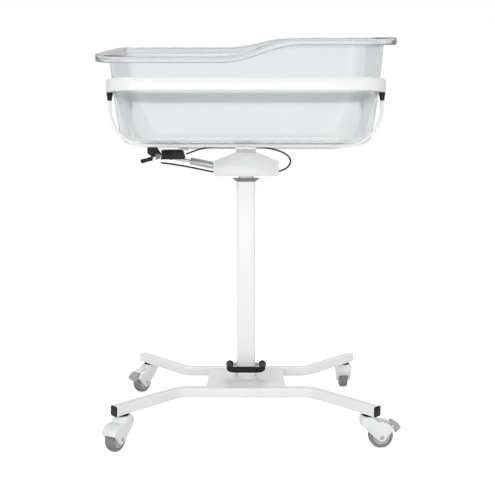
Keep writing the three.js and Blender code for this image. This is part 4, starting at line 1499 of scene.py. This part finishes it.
        corner(self.fillet - self.wall, self.bottom + self.wall, self.wall, self.fillet_degrees)
        upright(low, top - self.inner_stop, self.wall)
        for degrees in self.rim_degrees:
            angle = math.radians(degrees)
            z = top - self.rim_rise + self.rim_rise * math.sin(angle)
            add(self.section(z, self.wall - self.rim_flare * (1 - math.cos(angle))), z)
        for degrees in reversed(self.rim_degrees):
            angle = math.radians(degrees)
            z = top - self.rim_curve + self.rim_curve * math.sin(angle)
            add(self.rim(self.rim_curve * (1 - math.cos(angle))), z)
        for inset, height in self.lip_outside:
            add(self.rim(inset), top - self.lip + height)
        for inset, depth in self.lip_inside:
            add(self.rim(inset), under - depth)
        for degrees in reversed(self.rim_degrees):
            angle = math.radians(degrees)
            z = under - self.rim_curve + self.rim_curve * math.sin(angle)
            add(self.section(z, -self.rim_curve * (1 - math.cos(angle))), z)
        upright(under - self.outer_stop, low, 0.0)
        corner(self.fillet, self.bottom, 0.0, self.fillet_degrees[-2::-1])
        return points

    def build(self) -> None:
        """Builds and dresses the tub."""
        columns = [self.profile(place) for place in self.stations()]
        rings = [[column[row] for column in columns] for row in range(len(columns[0]))]
        tub = mesh_piece("tub_shell", *loft(rings), CLEAR_PLASTIC, SharpAngle.SWEPT)
        # The rim's rounded edge rows take the greyer copy of the clear finish, painted shade for its edges.
        tub.data.materials.append(CLEAR_PAINTED_EDGE_SHADE.material())
        for first, last in self.painted_shade_rows:
            for face in tub.data.polygons[first * len(columns):last * len(columns)]:
                face.material_index = 1
        settle(tub, "tub", Slot.TUB, "tub")


@dataclass
class Caster:
    """One swivel caster: stem, hood, wheel and, on two of them, a brake."""

    label: str
    # Where it stands on the base, -1 or 1 along X and along Y, and its heading in degrees.
    side: float
    front: float
    heading: float
    brake: bool
    trail: float = 0.030
    wheel_radius: float = 0.030
    wheel_half: float = 0.012
    inset: float = 0.026
    stem_edge: float = 0.0004
    # Radius of each point of the tyre and of the hub, and its depth from the wheel's side.
    tyre_profile: tuple[Pair, ...] = (
        (0.0205, 0.0022), (0.0225, 0.0006), (0.0250, 0.0), (0.0272, 0.0010),
        (0.0288, 0.0030), (0.0296, 0.0050), (0.0289, 0.0054), (0.0289, 0.0060),
        (0.0298, 0.0064), (0.0300, 0.0085), (0.0300, 0.0108), (0.0294, 0.0114),
    )
    hub_profile: tuple[Pair, ...] = (
        (0.0044, 0.0), (0.0085, 0.0), (0.0095, 0.0010), (0.0100, 0.0060),
        (0.0180, 0.0060), (0.0186, 0.0016), (0.0204, 0.0012),
    )
    rib_count: int = 6
    rib_ring: float = 0.0141
    rib_size: Point = (0.0088, 0.0022, 0.0190)
    # Radius of each point of the axle's head, and its height over the axle's end.
    axle_end: float = 0.0207
    axle_profile: tuple[Pair, ...] = ((0.0, 0.0016), (0.0030, 0.0012), (0.0058, 0.0), (0.0040, 0.0))
    tyre_sides: int = 72
    hub_sides: int = 56
    axle_sides: int = 24
    # The brake's arm and tab, in radii and degrees about the wheel's axle.
    brake_inner: float = 0.0375
    arm_outer: float = 0.0390
    arm_reach: Pair = (101.0, 48.0)
    arm_half: float = 0.0090
    arm_steps: int = 16
    tab_reach: Pair = (56.0, 21.0)
    tab_corners: tuple[Pair, ...] = ((0.0350, 13.0), (0.0510, 22.0), (0.0525, 26.0), (0.0455, 51.0))
    tab_half: float = 0.0132
    tab_steps: int = 12
    # Width of the softened edges of arm and tab, and the size that their side faces keep.
    brake_edge: float = 0.0008
    brake_shrink: float = 0.96

    def place(self) -> Matrix:
        """Gives the caster's own frame: its swivel axis, turned to its heading.

        Returns:
            The transform to the part's frame.
        """
        x = self.side * (LEG_END[0] - self.inset * math.cos(LEG_ANGLE))
        y = self.front * (LEG_END[1] - self.inset * math.sin(LEG_ANGLE))
        return Matrix.Translation((x, y, 0.0)) @ Matrix.Rotation(math.radians(self.heading), 4, "Z")

    def axle_place(self) -> Matrix:
        """Gives the wheel's frame, with its Z axis along the axle."""
        axle = Matrix.Translation((self.trail, 0.0, self.wheel_radius))
        return self.place() @ axle @ Matrix.Rotation(QUARTER, 4, "X")

    def tyre(self) -> bpy.types.Object:
        """Turns the rubber tyre, with a groove on each shoulder.

        Returns:
            The piece.
        """
        right = [(radius, self.wheel_half - depth) for radius, depth in self.tyre_profile]
        skin = turned(both_sides(right), self.tyre_sides, self.axle_place())
        return mesh_piece(f"tyre_{self.label}", *skin, TYRE_RUBBER, SharpAngle.MOULDED)

    def hub(self) -> bpy.types.Object:
        """Turns the pale hub and adds its ribs.

        Returns:
            The piece.
        """
        right = [(radius, self.wheel_half - depth) for radius, depth in self.hub_profile]
        disc = turned(both_sides(right), self.hub_sides, self.axle_place())
        ribs = RIBS.ribs(self.rib_count, self.rib_ring, self.rib_size, HUB_PLASTIC)
        ribs.transform(self.axle_place())
        skin = together(disc, skin_of(ribs))
        return mesh_piece(f"hub_{self.label}", *skin, HUB_PLASTIC, SharpAngle.MOULDED)

    def brake_piece(self, name: str, outline: Outline, half: float, finish: Finish) -> bpy.types.Object:
        """Makes a piece of the brake from its side view.

        Args:
            name: name of the piece.
            outline: its side view in the caster's own frame.
            half: half of its width.
            finish: its finish.

        Returns:
            The piece, with softened edges.
        """
        middle_x = sum(x for x, _ in outline) / len(outline)
        middle_z = sum(z for _, z in outline) / len(outline)
        inner = half - self.brake_edge
        small = self.brake_shrink
        rings = []
        for y, size in ((-half, small), (-inner, 1.0), (inner, 1.0), (half, small)):
            ring = []
            for x, z in outline:
                spot = (middle_x + (x - middle_x) * size, y, middle_z + (z - middle_z) * size)
                ring.append(tuple(self.place() @ Vector(spot)))
            rings.append(ring)
        return mesh_piece(name, *loft(rings), finish, SharpAngle.MOULDED)

    def brake_tab(self) -> bpy.types.Object:
        """Makes the brake's wedge-shaped tab, behind the hood.

        Returns:
            The piece.
        """
        axle = (self.trail, self.wheel_radius)
        inner = arc(axle, self.brake_inner, *self.tab_reach, self.tab_steps)
        corners = [polar(axle, radius, degrees) for radius, degrees in self.tab_corners]
        return self.brake_piece(f"brake_tab_{self.label}", inner + corners, self.tab_half, BRAKE_PLASTIC)

    def brake_arm(self) -> bpy.types.Object:
        """Makes the thin arm that lies on the hood and carries the tab.

        Returns:
            The piece.
        """
        axle = (self.trail, self.wheel_radius)
        back, tail = self.arm_reach
        low = arc(axle, self.brake_inner, back, tail, self.arm_steps)
        high = arc(axle, self.arm_outer, tail, back, self.arm_steps)
        return self.brake_piece(f"brake_arm_{self.label}", low + high, self.arm_half, HOOD_PLASTIC)

    def axle(self) -> bpy.types.Object:
        """Turns the axle with a domed head on each end.

        Returns:
            The piece.
        """
        right = [(radius, self.axle_end + height) for radius, height in self.axle_profile]
        skin = turned(both_sides(right), self.axle_sides, self.axle_place())
        return mesh_piece(f"caster_axle_{self.label}_shell", *skin, STEEL, SharpAngle.TURNED)

    def build(self) -> None:
        """Builds and dresses the caster."""
        swivel, wheel = f"swivel_{self.label}", f"wheel_{self.label}"
        dress_node(f"caster_stem_{self.label}", BLACK_PLASTIC, "base", Slot.BLACK_PLASTIC, self.stem_edge)
        dress_node(f"caster_fork_{self.label}", HOOD_PLASTIC, swivel, Slot.HOOD, 0.0, SharpAngle.HOOD)
        settle(self.axle(), swivel, Slot.STEEL, f"caster_axle_{self.label}")
        settle(self.tyre(), wheel, Slot.WHEEL, f"caster_wheel_{self.label}")
        settle(self.hub(), wheel, Slot.HOOD, f"caster_wheel_{self.label}")
        if self.brake:
            settle(self.brake_tab(), f"brake_{self.label}", Slot.BRAKE, f"brake_pedal_{self.label}")
            settle(self.brake_arm(), f"brake_{self.label}", Slot.HOOD, f"brake_pedal_{self.label}")


def main() -> None:
    """Builds the studio and every sub-assembly."""
    logging.basicConfig(level=logging.INFO, format="%(name)s: %(message)s")
    Studio().build()
    makers: list[Callable[[], None]] = [
        ReleaseCable().build,
        BaseStand().build,
        Column().build,
        FootPedal().build,
        TiltHead().build,
        Cradle().build,
        TiltSpring().build,
        ReleaseLever().build,
        Tub().build,
        Caster("1", side=-1.0, front=-1.0, heading=243.0, brake=False).build,
        Caster("2", side=1.0, front=-1.0, heading=2.0, brake=True).build,
        Caster("3", side=-1.0, front=1.0, heading=235.0, brake=True).build,
        Caster("4", side=1.0, front=1.0, heading=91.0, brake=False).build,
    ]
    for make in makers:
        make()


if __name__ == "__main__":
    main()
